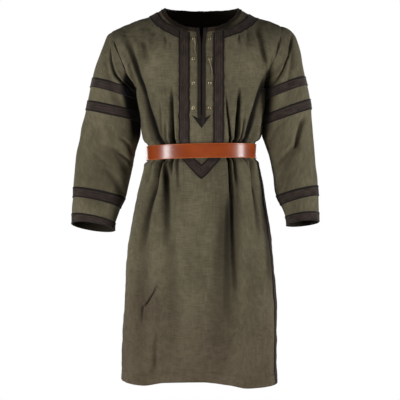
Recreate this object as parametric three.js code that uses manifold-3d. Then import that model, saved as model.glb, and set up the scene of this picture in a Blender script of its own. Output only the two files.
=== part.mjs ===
// A viking tunic with its leather belt, hollow and in its worn shape. Millimetres, +Z up.
// The front faces -Y and +X is the viewer's right. The origin is midway between the two neck
// points, where a wearer's shoulders carry the cloth, so "down" is a distance below it.
import * as THREE from "three";
import { mergeVertices } from "three/addons/utils/BufferGeometryUtils.js";
import Module from "manifold-3d";

const wasm = await Module();
wasm.setup();

// Thicknesses, and the gap that sewn or stacked pieces keep
const CLOTH = 1.6;
const BRAID = 1.3;
const LEATHER = 3.5;
const GAP = 0.3;

// Heights of the cut, below the origin
const ARMPIT = 226;
const HEM = 1034;
const BELT = { down: 401, height: 40, droop: 3.2, sag: 2, reach: 70 };

// Half-widths of the yoke on each side: the shoulder seam's outer end and the armpit
const LEFT = { sign: -1, shoulder: 252, shoulderDown: 68, armpit: 178 };
const RIGHT = { sign: 1, shoulder: 221, shoulderDown: 50, armpit: 174 };

// The neck opening in front view, the outer edge of its narrow edging, and the two edges of the braid
// that goes round it. Each is half of a rounded oval that hangs from the shoulder line.
const NECK = { left: 101, right: 101, drop: 66, backDrop: 0, power: 2 };
const NECK_EDGING = { left: 113, right: 113, drop: 78, backDrop: 11, power: 2 };
const BRAID_INNER = { left: 124, right: 136, drop: 82, backDrop: 17, power: 1.9 };
const BRAID_OUTER = { left: 151, right: 168, drop: 104, backDrop: 47, power: 1.9 };
const NECK_RISE = { front: 6, back: 28 };
const SHOULDER_SLOPE = 0.386;

// How far the armhole's edge lies in front of the shoulder, and behind it
const ARMHOLE = { front: 70, back: 66, bulge: 5, spread: 5 };
const PROFILE_POWER = 2.2;
const SECTION_POWER = 2.25;

// Level sections of the body: half-widths at the viewer's left and right, depths in front and behind
const SECTIONS = [
  { down: 226, left: 178, right: 174, front: 126, back: 118 },
  { down: 262, left: 177, right: 173, front: 128, back: 117 },
  { down: 300, left: 176, right: 173, front: 128, back: 115 },
  { down: 340, left: 171, right: 171, front: 123, back: 110 },
  { down: 362, left: 164, right: 166, front: 117, back: 104 },
  { down: 378, left: 157, right: 157, front: 112, back: 100 },
  { down: 424, left: 157, right: 157, front: 112, back: 100 },
  { down: 463, left: 169, right: 164, front: 119, back: 111 },
  { down: 514, left: 183, right: 175, front: 128, back: 123 },
  { down: 581, left: 195, right: 186, front: 138, back: 134 },
  { down: 670, left: 206, right: 197, front: 149, back: 143 },
  { down: 805, left: 214, right: 208, front: 158, back: 149 },
  { down: 939, left: 220, right: 208, front: 164, back: 152 },
  { down: 1060, left: 223, right: 211, front: 168, back: 155 },
];

// How far the side seams are turned towards the viewer's left, as the tunic hangs a little askew
const TWIST = [
  { down: 226, degrees: 0 },
  { down: 400, degrees: 6 },
  { down: 520, degrees: 12 },
  { down: 700, degrees: 14 },
  { down: 1060, degrees: 14 },
];

// How much lower than HEM the hem hangs, round the body from the middle of the front
const HEM_DROP = [
  { angle: -180, drop: 8 },
  { angle: -130, drop: 14 },
  { angle: -90, drop: 2 },
  { angle: -44, drop: 6 },
  { angle: -25, drop: -5 },
  { angle: 0, drop: -8 },
  { angle: 20, drop: 1 },
  { angle: 35, drop: 12 },
  { angle: 70, drop: 13 },
  { angle: 95, drop: 3 },
  { angle: 130, drop: 0 },
  { angle: 180, drop: 8 },
];

// The belt draws the cloth in by this much, fully within one half-height and not past the other
const CINCH = { depth: 7.5, full: 21.5, none: 32, clear: 2.3 };

// Folds: troughs that run from one angle and height to another. Angle 0 is the middle of the front,
// 90 the viewer's right and 180 the back. Width is the half-width of the trough.
const FOLDS = [
  // drawn from the shoulders and armholes to the belt
  { angle0: -84, down0: 110, angle1: -42, down1: 400, width0: 16, width1: 9, depth0: 3, depth1: 12 },
  { angle0: -29, down0: 250, angle1: -30, down1: 400, width0: 7, width1: 9, depth0: 2, depth1: 11 },
  { angle0: 31, down0: 290, angle1: 38, down1: 400, width0: 6, width1: 8, depth0: 2, depth1: 9 },
  { angle0: 84, down0: 130, angle1: 51, down1: 400, width0: 18, width1: 10, depth0: 4, depth1: 12 },
  { angle0: 52, down0: 50, angle1: 74, down1: 190, width0: 12, width1: 11, depth0: 3, depth1: 4 },
  { angle0: -112, down0: 150, angle1: -128, down1: 400, width0: 18, width1: 10, depth0: 3, depth1: 11 },
  { angle0: -160, down0: 250, angle1: -158, down1: 400, width0: 9, width1: 10, depth0: 2, depth1: 10 },
  { angle0: 168, down0: 270, angle1: 164, down1: 400, width0: 8, width1: 9, depth0: 2, depth1: 9 },
  { angle0: 108, down0: 150, angle1: 132, down1: 400, width0: 18, width1: 10, depth0: 3, depth1: 12 },
  // opening from the belt into the skirt
  { angle0: -44, down0: 402, angle1: -55, down1: 700, width0: 8, width1: 20, depth0: 12, depth1: 3 },
  { angle0: -34, down0: 402, angle1: -26, down1: 640, width0: 9, width1: 16, depth0: 11, depth1: 2 },
  { angle0: 30, down0: 402, angle1: 25, down1: 560, width0: 6, width1: 9, depth0: 8, depth1: 2 },
  { angle0: 37, down0: 402, angle1: 16, down1: 900, width0: 9, width1: 34, depth0: 11, depth1: 9 },
  { angle0: 60, down0: 402, angle1: 54, down1: 640, width0: 9, width1: 16, depth0: 11, depth1: 2 },
  { angle0: -128, down0: 402, angle1: -122, down1: 760, width0: 9, width1: 26, depth0: 11, depth1: 5 },
  { angle0: -156, down0: 402, angle1: -160, down1: 700, width0: 9, width1: 22, depth0: 10, depth1: 4 },
  { angle0: 166, down0: 402, angle1: 172, down1: 880, width0: 9, width1: 30, depth0: 10, depth1: 8 },
  { angle0: 132, down0: 402, angle1: 126, down1: 720, width0: 10, width1: 24, depth0: 11, depth1: 5 },
  { angle0: 104, down0: 420, angle1: 106, down1: 620, width0: 9, width1: 18, depth0: 8, depth1: 2 },
];

// Rings of the sleeves, from the armhole to the cuff, in front view: the outer and the inner point of
// each ring, then the middle and half of its depth, and how much higher its front is than its back.
// A ring with an edge name is where that piece of braid starts or ends.
const LEFT_SLEEVE = [
  { outX: -252, outDown: 68, inX: -178.4, inDown: 226, y: -2, depth: 68, lift: 0, steps: 1 },
  { outX: -263, outDown: 78, inX: -179, inDown: 228, y: 1, depth: 73, lift: 2, steps: 1 },
  { outX: -276, outDown: 106, inX: -179.1, inDown: 229, y: 4, depth: 75, lift: 4, steps: 1 },
  { outX: -290, outDown: 144, inX: -179.2, inDown: 230, y: 5, depth: 75, lift: 5, steps: 2 },
  { outX: -305, outDown: 194, inX: -180, inDown: 236, y: 6, depth: 74, lift: 7, steps: 1, edge: "arm_1" },
  { outX: -312, outDown: 221, inX: -179.8, inDown: 263, y: 7, depth: 73, lift: 8, steps: 1, edge: "arm_1" },
  { outX: -319, outDown: 257, inX: -179.2, inDown: 291, y: 7, depth: 72, lift: 2, steps: 1, edge: "arm_2" },
  { outX: -325, outDown: 285, inX: -178, inDown: 319, y: 7, depth: 70, lift: 0, steps: 2, edge: "arm_2" },
  { outX: -338, outDown: 350, inX: -180, inDown: 372, y: 3, depth: 66, lift: 2, steps: 2 },
  { outX: -350, outDown: 420, inX: -192, inDown: 434, y: -6, depth: 62, lift: 8, steps: 2 },
  { outX: -356, outDown: 501, inX: -212, inDown: 530, y: -22, depth: 56, lift: 13, steps: 1, edge: "wrist" },
  { outX: -357, outDown: 530, inX: -226, inDown: 559, y: -28, depth: 54, lift: 13, steps: 1, edge: "wrist" },
  { outX: -359, outDown: 575, inX: -239, inDown: 600, y: -37, depth: 50, lift: 12, steps: 1, edge: "cuff" },
  { outX: -360, outDown: 602, inX: -240, inDown: 617, y: -42, depth: 48, lift: 11, steps: 1, edge: "cuff" },
];
const RIGHT_SLEEVE = [
  { outX: 221, outDown: 50, inX: 174.4, inDown: 226, y: -2, depth: 68, lift: 0, steps: 1 },
  { outX: 240, outDown: 57, inX: 175, inDown: 228, y: 1, depth: 74, lift: 2, steps: 1 },
  { outX: 262, outDown: 78, inX: 175.2, inDown: 229, y: 4, depth: 78, lift: 4, steps: 1 },
  { outX: 279, outDown: 128, inX: 175.4, inDown: 231, y: 5, depth: 79, lift: 6, steps: 2 },
  { outX: 290, outDown: 190, inX: 176.2, inDown: 238, y: 6, depth: 79, lift: 8, steps: 1, edge: "arm_1" },
  { outX: 296, outDown: 216, inX: 176, inDown: 265, y: 7, depth: 80, lift: 7, steps: 1, edge: "arm_1" },
  { outX: 304, outDown: 253, inX: 176.2, inDown: 303, y: 8, depth: 80, lift: 3, steps: 1, edge: "arm_2" },
  { outX: 309, outDown: 282, inX: 176, inDown: 331, y: 8, depth: 79, lift: 2, steps: 2, edge: "arm_2" },
  { outX: 312, outDown: 350, inX: 179, inDown: 372, y: 4, depth: 76, lift: 3, steps: 2 },
  { outX: 318, outDown: 420, inX: 195, inDown: 440, y: -5, depth: 72, lift: 6, steps: 2 },
  { outX: 323, outDown: 496, inX: 208, inDown: 524, y: -20, depth: 67, lift: 9, steps: 1, edge: "wrist" },
  { outX: 324, outDown: 526, inX: 222, inDown: 552, y: -26, depth: 65, lift: 11, steps: 1, edge: "wrist" },
  { outX: 325, outDown: 571, inX: 233, inDown: 582, y: -34, depth: 62, lift: 9, steps: 1, edge: "cuff" },
  { outX: 326, outDown: 597, inX: 237, inDown: 606, y: -38, depth: 60, lift: 6, steps: 1, edge: "cuff" },
];

// Each sleeve is two solids, an upper and a lower one, so that its collision pieces follow it closely.
// They meet halfway between this ring and the next, under the second braid, half a gap either side.
const SLEEVE_JOIN = { place: 6, halfGap: 0.0053 };

// Folds of the sleeves. The turn is 0 at the outer side, 90 in front and 180 at the body, and the
// start and end are heights on the outer side.
const LEFT_SLEEVE_FOLDS = [
  { turn0: 34, down0: 80, turn1: 106, down1: 250, width0: 12, width1: 16, depth0: 6, depth1: 7 },
  { turn0: 68, down0: 320, turn1: 62, down1: 480, width0: 20, width1: 16, depth0: 5, depth1: 3 },
  { turn0: 104, down0: 380, turn1: 150, down1: 450, width0: 12, width1: 14, depth0: 6, depth1: 6 },
  { turn0: 300, down0: 90, turn1: 250, down1: 260, width0: 14, width1: 18, depth0: 6, depth1: 6 },
  { turn0: 250, down0: 350, turn1: 200, down1: 440, width0: 16, width1: 16, depth0: 6, depth1: 5 },
];
const RIGHT_SLEEVE_FOLDS = [
  { turn0: 50, down0: 66, turn1: 94, down1: 240, width0: 11, width1: 14, depth0: 7, depth1: 6 },
  { turn0: 54, down0: 300, turn1: 80, down1: 400, width0: 12, width1: 13, depth0: 6, depth1: 8 },
  { turn0: 84, down0: 385, turn1: 150, down1: 490, width0: 13, width1: 15, depth0: 8, depth1: 6 },
  { turn0: 300, down0: 80, turn1: 252, down1: 250, width0: 14, width1: 18, depth0: 6, depth1: 6 },
  { turn0: 248, down0: 340, turn1: 205, down1: 440, width0: 16, width1: 16, depth0: 6, depth1: 5 },
];

// The front opening, its narrow edging, and the wide braid on either side that meets in a point
const SLIT = { half: 0.9, mouthHalf: 8, mouthStart: 46, mouthEnd: 112, end: 306 };
const EDGING = { width: 10, arrowHalf: 25, arrowTop: 306, arrowNotch: 313, arrowTip: 340 };
const PLASTRON = {
  top: 46,
  inner: 32,
  outer: 62,
  innerTurn: 407,
  outerTurn: 414,
  innerTip: 440,
  outerTip: 476,
};
const EYELETS = {
  x: 22,
  downs: [94, 151, 218, 286],
  outer: 4.5,
  bore: 2.2,
  barrel: 2.7,
  flange: 0.8,
  chamfer: 0.7,
  holeLength: 12,
};
const SIDE_BRAID = { half: 12, from: 401 };

// Laces, in front view from their eyelet to the free end, and how far they stand off the cloth
const LACE_RADIUS = 1;
const LEFT_LACE = [
  { x: -22, down: 94, off: -0.4 },
  { x: -22, down: 94.2, off: 1.6 },
  { x: -21.9, down: 94.8, off: 3.6 },
  { x: -21.5, down: 96.4, off: 5 },
  { x: -20.7, down: 98.8, off: 5.4 },
  { x: -19.7, down: 101.6, off: 5 },
  { x: -18.6, down: 104.6, off: 4 },
  { x: -17.7, down: 107.8, off: 2.9 },
  { x: -17.1, down: 111.2, off: 2.1 },
  { x: -17, down: 114.8, off: 1.8 },
  { x: -17.3, down: 118.4, off: 1.7 },
  { x: -17.7, down: 122, off: 1.7 },
  { x: -17.8, down: 125.4, off: 1.7 },
  { x: -17.4, down: 128.8, off: 1.7 },
  { x: -16.8, down: 132.4, off: 1.7 },
  { x: -16.4, down: 136, off: 1.7 },
];
const RIGHT_LACE = [
  { x: 22, down: 151, off: -0.4 },
  { x: 22, down: 151.2, off: 1.6 },
  { x: 21.9, down: 151.8, off: 3.6 },
  { x: 21.7, down: 153.4, off: 5 },
  { x: 21.5, down: 155.8, off: 5.4 },
  { x: 21.5, down: 158.6, off: 5 },
  { x: 21.9, down: 161.6, off: 4 },
  { x: 22.7, down: 164.8, off: 2.9 },
  { x: 23.8, down: 168.2, off: 2.1 },
  { x: 25, down: 171.6, off: 1.8 },
  { x: 26.1, down: 175.2, off: 1.7 },
  { x: 27.1, down: 178.8, off: 1.7 },
  { x: 27.8, down: 182.4, off: 1.7 },
  { x: 28.2, down: 186.2, off: 1.7 },
  { x: 28.3, down: 190, off: 1.7 },
  { x: 28.1, down: 193.6, off: 1.7 },
  { x: 27.6, down: 197, off: 1.7 },
];

// The belt closes at the back. Distances run along the strap from its buckle end, and past a whole turn
// for the tail, which lies on the outside of that end.
const BUCKLE = { angle: 172, from: -34, to: -1.5, height: 52, bar: 3.2, thick: 3, tilt: 7.4, off: 0.4 };
const PRONG = { from: -5.2, to: -36, low: 1.8, high: 10.6, radius: 1.5 };
const PRONG_SLOT = { from: -24, to: -3, width: 4, depth: 24 };
const TAIL = { riseFrom: -32, riseTo: -6, length: 118, lift: 4.6, point: 15, taper: 0.9 };
const TAIL_HOLES = { first: 18, step: 22, count: 4, radius: 2.2, depth: 8 };
const KEEPER = { at: 51, width: 12, thick: 1, clear: 0.6 };

// How finely the pieces are divided
const FRONT_COLUMNS = 36;
const BACK_COLUMNS = 28;
const YOKE_ROWS = 9;
const BODY_LEVELS = [
  262, 304, 336, 356, 369.5, 379.5, 401, 422.5, 432.5, 446, 468, 500, 548, 614, 700, 805, 920,
];
const SLEEVE_SIDES = 2 * YOKE_ROWS;
const BELT_SIDES = 64;
const BELT_SAMPLES = 720;
const OVAL_STEPS = 16;
const ROUND_SIDES = 8;
const LACE_STEPS = 12;

// Small parameter step for normals. The first row of a panel lies a few such steps past its edge.
const STEP = 1e-4;
const FIRST_ROW = 4 * STEP;

const DEGREE = Math.PI / 180;
const lerp = THREE.MathUtils.lerp;
const smooth = (from, to, x) => THREE.MathUtils.smoothstep(x, from, to);

// Materials
const finish = (color, roughness, metalness = 0) =>
  new THREE.MeshStandardMaterial({ color, roughness, metalness });
const OLIVE = finish(0x625b47, 0.92);
const BROWN = finish(0x372b29, 0.85);
const TAN = finish(0x99471c, 0.42);
const METAL = finish(0xb9a77c, 0.3, 1);
const CORD = finish(0x7a725a, 0.85);

// One column of a table at a place between its rows, on a smooth curve that never overshoots them
function along(rows, key, column, at) {
  let i = 0;
  while (i < rows.length - 2 && at > rows[i + 1][key]) i++;
  const chord = (j) => {
    const a = rows[THREE.MathUtils.clamp(j, 0, rows.length - 2)];
    const b = rows[THREE.MathUtils.clamp(j + 1, 1, rows.length - 1)];
    return (b[column] - a[column]) / (b[key] - a[key]);
  };
  const slope = (j) => {
    const before = chord(j - 1);
    const after = chord(j);
    return before * after <= 0 ? 0 : (2 * before * after) / (before + after);
  };
  const step = rows[i + 1][key] - rows[i][key];
  const t = THREE.MathUtils.clamp((at - rows[i][key]) / step, 0, 1);
  const rise = rows[i + 1][column] - rows[i][column];
  const bend0 = slope(i) * step - rise;
  const bend1 = rise - slope(i + 1) * step;
  return rows[i][column] + t * rise + t * (1 - t) * ((1 - t) * bend0 + t * bend1);
}

// How deep a set of folds is at a place: each is a bell-shaped trough that fades in and out over a
// share of its length at either end
const FADE = 0.15;
function foldDepth(folds, place, down, radius, [place0, place1]) {
  let depth = 0;
  for (const fold of folds) {
    const t = (down - fold.down0) / (fold.down1 - fold.down0);
    if (t <= -FADE || t >= 1 + FADE) continue;
    const centre = lerp(fold[place0], fold[place1], t);
    const turned = THREE.MathUtils.euclideanModulo(place - centre + 180, 360) - 180;
    const across = (turned * DEGREE * radius) / lerp(fold.width0, fold.width1, t);
    const fade = smooth(-FADE, FADE, t) * (1 - smooth(1 - FADE, 1 + FADE, t));
    depth += lerp(fold.depth0, fold.depth1, t) * fade * Math.exp(-across * across);
  }
  return depth;
}

// How much lower than BELT.down the belt's middle lies at an angle: it is tilted, and sags at the sides
const beltShift = (angle) => {
  const sin = Math.sin(angle * DEGREE);
  return BELT.sag * sin * sin - BELT.droop * sin;
};

// Where a level section of the body lies at an angle: a rounded oval with four quarter sizes
function section(angle, down) {
  const sin = Math.sin(angle * DEGREE);
  const cos = Math.cos(angle * DEGREE);
  const size = (column) => along(SECTIONS, "down", column, down);
  const powers = Math.abs(sin) ** SECTION_POWER + Math.abs(cos) ** SECTION_POWER;
  const reach = powers ** (-1 / SECTION_POWER);
  return {
    x: reach * sin * size(sin < 0 ? "left" : "right"),
    y: -reach * cos * size(cos > 0 ? "front" : "back"),
  };
}

// Height of the shoulder line below the origin, which goes on across the neck as a guide for the cut
function ridgeDown(x, face, side) {
  const neck = x < 0 ? NECK.left : NECK.right;
  const past = Math.abs(x) - neck;
  if (past < 0) return -NECK_RISE[face] * (1 - (x / neck) ** 2);
  const share = past / (side.shoulder - neck);
  const extra = side.shoulderDown - SHOULDER_SLOPE * (side.shoulder - neck);
  return SHOULDER_SLOPE * past + extra * share ** 3;
}

// The body's smooth form. Across runs from -1 at the viewer's left edge to 1 at the right one. Level
// runs from 0 at the shoulder line through 1 at the armpits to 2 at the hem.
function form(face, across, level) {
  const side = across < 0 ? LEFT : RIGHT;
  const back = face === "back";
  const toward = back ? 1 : -1;
  const share = Math.abs(across);
  if (level >= 1) {
    const drop = (level - 1) * (HEM - ARMPIT);
    const twist = along(TWIST, "down", "degrees", ARMPIT + drop);
    const angle = (back ? 180 - 90 * across : 90 * across) - twist;
    const wave = along(HEM_DROP, "angle", "drop", angle > 180 ? angle - 360 : angle);
    const near = Math.exp(-(((ARMPIT + drop - BELT.down) / BELT.reach) ** 2));
    const shift = wave * (level - 1) ** 3 + beltShift(angle) * near;
    const at = section(angle, ARMPIT + drop);
    const point = new THREE.Vector3(at.x, at.y + (toward * GAP) / 2, -ARMPIT - drop - shift);
    return { point, angle, down: ARMPIT + drop };
  }
  const turn = Math.PI * (1 - level);
  const rise = (1 - Math.cos(turn)) / 2;
  const level0 = section(90 * share, ARMPIT);
  const sine = level0.x / SECTIONS[0].right;
  const cosine = -level0.y / SECTIONS[0].front;
  const even = smooth(0, 0.75, 1 - level) ** 1.5;
  const bow = Math.sin(turn) ** (1 + ARMHOLE.spread * Math.max(0, 1 - share));
  const edge = lerp(side.armpit, side.shoulder, rise) + ARMHOLE.bulge * bow;
  const top = ridgeDown(side.shoulder * across, face, side);
  const down = lerp(ARMPIT, top, rise);
  const middle = SECTIONS[0][face] * (1 - rise ** PROFILE_POWER) ** (1 / PROFILE_POWER);
  const rim = ARMHOLE[face] * bow;
  const crown = lerp(cosine, 1 - share ** PROFILE_POWER, even);
  const y = toward * (lerp(rim, middle, crown) + GAP / 2);
  const point = new THREE.Vector3(side.sign * edge * lerp(sine, share, even), y, -down);
  return { point, angle: back ? 180 - 90 * across : 90 * across, down };
}

// The unit normal of a surface of two parameters, by small steps either way
function normalOf(surface, a, b, flip) {
  const da = surface(a + STEP, b).sub(surface(a - STEP, b));
  const db = surface(a, b + STEP).sub(surface(a, b - STEP));
  return da.cross(db).normalize().multiplyScalar(flip);
}

// The body with its folds and the belt's pull. Near the middle line a fold is as wide as it would be
// at the least radius.
const LEAST_RADIUS = 60;
function body(face) {
  const flip = face === "back" ? 1 : -1;
  const plain = (across, level) => form(face, across, level).point;
  const folded = (across, level) => {
    const { point, angle, down } = form(face, across, level);
    const radius = Math.max(Math.hypot(point.x, point.y), LEAST_RADIUS);
    const pull = 1 - smooth(CINCH.full, CINCH.none, Math.abs(down - BELT.down));
    const depth = foldDepth(FOLDS, angle, down, radius, ["angle0", "angle1"]);
    const normal = normalOf(plain, across, level, flip);
    return point.addScaledVector(normal, -depth - CINCH.depth * pull);
  };
  return { surface: folded, flip };
}

// A grid of points and normals of a surface at the given parameters of its columns and rows
function gridOf({ surface, flip }, columns, rows) {
  const grid = rows.map((row, i) =>
    columns(row, i).map((column) => ({
      point: surface(column, row),
      normal: normalOf(surface, column, row, flip),
    })),
  );
  return { grid, closed: false };
}

// A cloth wall over the kept cells of a grid, between two distances along its normals
function wall({ grid, closed }, outer, inner, keep = () => true) {
  const high = grid.length;
  const wide = grid[0].length;
  const positions = [];
  for (const off of [outer, inner])
    for (const row of grid)
      for (const { point, normal } of row) {
        const p = point.clone().addScaledVector(normal, off);
        positions.push(p.x, p.y, p.z);
      }
  const at = (layer, i, j) => layer * high * wide + i * wide + (j % wide);
  const cells = closed ? wide : wide - 1;
  const kept = (i, j) => {
    const inside = i >= 0 && i < high - 1 && (closed || (j >= 0 && j < cells));
    return inside && keep(i, (j + cells) % cells);
  };
  const index = [];
  const face = (a, b, c, d) => index.push(a, b, c, a, c, d);
  const rim = (i0, j0, i1, j1) => face(at(0, i0, j0), at(1, i0, j0), at(1, i1, j1), at(0, i1, j1));
  for (let i = 0; i < high - 1; i++)
    for (let j = 0; j < cells; j++) {
      if (!kept(i, j)) continue;
      face(at(0, i, j), at(0, i + 1, j), at(0, i + 1, j + 1), at(0, i, j + 1));
      face(at(1, i, j), at(1, i, j + 1), at(1, i + 1, j + 1), at(1, i + 1, j));
      if (!kept(i - 1, j)) rim(i, j + 1, i, j);
      if (!kept(i + 1, j)) rim(i + 1, j, i + 1, j + 1);
      if (!kept(i, j - 1)) rim(i, j, i + 1, j);
      if (!kept(i, j + 1)) rim(i + 1, j + 1, i, j + 1);
    }
  const made = new THREE.BufferGeometry();
  made.setAttribute("position", new THREE.Float32BufferAttribute(positions, 3));
  return made.setIndex(index);
}

// Between geometries and manifold solids
const MERGE_DISTANCE = 1e-4;
function solid(geometry) {
  const bare = geometry.clone();
  bare.deleteAttribute("normal");
  bare.deleteAttribute("uv");
  const merged = mergeVertices(bare, MERGE_DISTANCE);
  return new wasm.Manifold(
    new wasm.Mesh({
      numProp: 3,
      vertProperties: new Float32Array(merged.attributes.position.array),
      triVerts: new Uint32Array(merged.index.array),
    }),
  );
}
function geometryOf(made) {
  const { vertProperties, triVerts } = made.getMesh();
  const geometry = new THREE.BufferGeometry();
  geometry.setAttribute("position", new THREE.BufferAttribute(vertProperties, 3));
  return geometry.setIndex(new THREE.BufferAttribute(triVerts, 1));
}

// A prism along Y with an outline given in front view, as [x, down] points
const PRISM_REACH = 320;
function prism(outline, face) {
  const shape = new THREE.Shape(outline.map(([x, down]) => new THREE.Vector2(x, -down)));
  const geometry = new THREE.ExtrudeGeometry(shape, { depth: PRISM_REACH, bevelEnabled: false });
  geometry.rotateX(Math.PI / 2);
  return solid(face === "back" ? geometry.translate(0, PRISM_REACH, 0) : geometry);
}

// Everything inside a rounded oval that hangs from the shoulder line, and the strip between two
const NECK_TOP = -60;
function inside({ left, right, drop, backDrop, power }, face) {
  const low = face === "back" ? backDrop : drop;
  const curve = Array.from({ length: OVAL_STEPS + 1 }, (_, i) => {
    const turn = (Math.PI * i) / OVAL_STEPS;
    const cos = Math.abs(Math.cos(turn)) ** (2 / power) * Math.sign(OVAL_STEPS / 2 - i);
    return [-cos * (cos > 0 ? left : right), low * Math.sin(turn) ** (2 / power)];
  });
  return prism([...curve, [right, NECK_TOP], [-left, NECK_TOP]], face);
}
const ring = (outer, inner, face) => inside(outer, face).subtract(inside(inner, face));

const group = new THREE.Group();
group.name = "viking_tunic";
function add(name, geometry, material) {
  const mesh = new THREE.Mesh(geometry, material.clone());
  mesh.name = name;
  group.add(mesh);
}

// Rows of the body from the shoulder line to the hem
const rows = Array.from({ length: YOKE_ROWS + 1 }, (_, i) => Math.max(i / YOKE_ROWS, FIRST_ROW));
for (const down of [...BODY_LEVELS, HEM]) rows.push(1 + (down - ARMPIT) / (HEM - ARMPIT));
const downOfRow = (i) => ARMPIT + (rows[i] - 1) * (HEM - ARMPIT);

// Columns of a panel. Those next to the edges keep the width of the braid on the side seams, where
// the rounded oval runs a little longer than a circle of the same depth.
const EDGE_STRETCH = 1.15;
function columnsOf(face, count) {
  return (level) => {
    const down = Math.max(ARMPIT, ARMPIT + (level - 1) * (HEM - ARMPIT));
    const quarter = 90 * DEGREE * along(SECTIONS, "down", face, down) * EDGE_STRETCH;
    const edge = 1 - SIDE_BRAID.half / quarter;
    const inner = Array.from({ length: count - 1 }, (_, i) => lerp(-edge, edge, i / (count - 2)));
    return [-1, ...inner, 1];
  };
}
const frontGrid = gridOf(body("front"), columnsOf("front", FRONT_COLUMNS), rows);
const backGrid = gridOf(body("back"), columnsOf("back", BACK_COLUMNS), rows);
for (const row of backGrid.grid) row.reverse();

// A piece laid on a panel: the panel's own points moved out, and trimmed to an outline
function laid(face, outline, keep) {
  const grid = face === "back" ? backGrid : frontGrid;
  return solid(wall(grid, GAP + BRAID, GAP, keep)).intersect(outline);
}
const MIDDLE_MARGIN = 30;
const yoke = (i) => i < YOKE_ROWS;
const middle = (i, j) => {
  const { x } = frontGrid.grid[i][j].point;
  return Math.abs(x) < PLASTRON.outer + MIDDLE_MARGIN && downOfRow(i) < PLASTRON.outerTip;
};

// The slit with a strip of some width on either side of it, which opens in a narrow V at the neck
function aroundSlit(width, end) {
  const side = (sign) => [
    [sign * (SLIT.mouthHalf + width), SLIT.mouthStart],
    [sign * (SLIT.half + width), SLIT.mouthEnd],
    [sign * (SLIT.half + width), end],
  ];
  return prism([...side(-1), ...side(1).reverse()], "front");
}
const slit = aroundSlit(0, SLIT.end);
const edging = aroundSlit(EDGING.width, EDGING.arrowNotch - GAP);
const edgingRoom = aroundSlit(EDGING.width + GAP, EDGING.arrowNotch - GAP);

// One side of the front, from a distance off its middle line
const half = (sign, from = 0) => {
  const far = sign * PRISM_REACH;
  const near = sign * (from + GAP / 2);
  return prism([[near, NECK_TOP], [far, NECK_TOP], [far, HEM], [near, HEM]], "front");
};
const neckHole = { front: inside(NECK, "front"), back: inside(NECK, "back") };

const plainFront = solid(wall(frontGrid, 0, -CLOTH)).subtract(neckHole.front).subtract(slit);

// A seat on the front panel: the point and normal on the cloth at a place given in front view
const seatMesh = new THREE.Mesh(geometryOf(plainFront));
const forward = new THREE.Vector3(0, 1, 0);
function seat(x, down) {
  const ray = new THREE.Raycaster(new THREE.Vector3(x, -PRISM_REACH, -down), forward);
  const [hit] = ray.intersectObject(seatMesh);
  return { point: hit.point, normal: hit.face.normal.clone() };
}

// Eyelets: a flange on the cloth and a barrel through it, each in a hole of its own
const eyelets = [];
for (const [sign, side] of [[-1, "left"], [1, "right"]])
  EYELETS.downs.forEach((down, i) => {
    const { point, normal } = seat(sign * EYELETS.x, down);
    const turn = new THREE.Quaternion().setFromUnitVectors(forward, normal);
    eyelets.push({ name: `eyelet_${side}_${i + 1}`, point, turn });
  });
const placed = (geometry, { point, turn }) =>
  geometry.applyQuaternion(turn).translate(point.x, point.y, point.z);
let front = plainFront;
for (const eyelet of eyelets) {
  const radius = EYELETS.barrel + GAP;
  const hole = new THREE.CylinderGeometry(radius, radius, EYELETS.holeLength, ROUND_SIDES);
  front = front.subtract(solid(placed(hole, eyelet)));
  const profile = [
    [EYELETS.bore, -CLOTH],
    [EYELETS.barrel, -CLOTH],
    [EYELETS.barrel, GAP],
    [EYELETS.outer, GAP],
    [EYELETS.outer - EYELETS.chamfer, GAP + EYELETS.flange],
    [EYELETS.bore, GAP + EYELETS.flange],
    [EYELETS.bore, -CLOTH],
  ].map(([r, y]) => new THREE.Vector2(r, y));
  add(eyelet.name, placed(new THREE.LatheGeometry(profile, ROUND_SIDES), eyelet), METAL);
}
add("front_panel", geometryOf(front), OLIVE);
add("back_panel", geometryOf(solid(wall(backGrid, 0, -CLOTH)).subtract(neckHole.back)), OLIVE);

// Trims that lie on the panels
const neckEdging = { front: ring(NECK_EDGING, NECK, "front"), back: ring(NECK_EDGING, NECK, "back") };
const neckBraid = {
  front: ring(BRAID_OUTER, BRAID_INNER, "front"),
  back: ring(BRAID_OUTER, BRAID_INNER, "back"),
};
const withinBraid = inside(BRAID_INNER, "front");
for (const [sign, side] of [[-1, "left"], [1, "right"]]) {
  const strip = neckEdging.front.intersect(half(sign)).subtract(edgingRoom);
  add(`neck_edging_front_${side}`, geometryOf(laid("front", strip, yoke)), OLIVE);
  const braid = neckBraid.front.intersect(half(sign, PLASTRON.outer));
  add(`neck_braid_front_${side}`, geometryOf(laid("front", braid, yoke)), BROWN);
  const edge = edging.subtract(slit).subtract(neckHole.front).intersect(half(sign));
  add(`slit_edging_${side}`, geometryOf(laid("front", edge, middle)), BROWN);
  const outline = [
    [sign * PLASTRON.outer, PLASTRON.top],
    [sign * PLASTRON.inner, PLASTRON.top],
    [sign * PLASTRON.inner, PLASTRON.innerTurn],
    [0, PLASTRON.innerTip],
    [0, PLASTRON.outerTip],
    [sign * PLASTRON.outer, PLASTRON.outerTurn],
  ];
  const plastron = prism(outline, "front").subtract(withinBraid).intersect(half(sign));
  add(`front_braid_${side}`, geometryOf(laid("front", plastron, middle)), BROWN);
}
add("neck_edging_back", geometryOf(laid("back", neckEdging.back, yoke)), OLIVE);
add("neck_braid_back", geometryOf(laid("back", neckBraid.back, yoke)), BROWN);
const arrow = prism(
  [
    [-EDGING.arrowHalf, EDGING.arrowTop],
    [-EDGING.width - SLIT.half, EDGING.arrowNotch],
    [EDGING.width + SLIT.half, EDGING.arrowNotch],
    [EDGING.arrowHalf, EDGING.arrowTop],
    [0, EDGING.arrowTip],
  ],
  "front",
);
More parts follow.
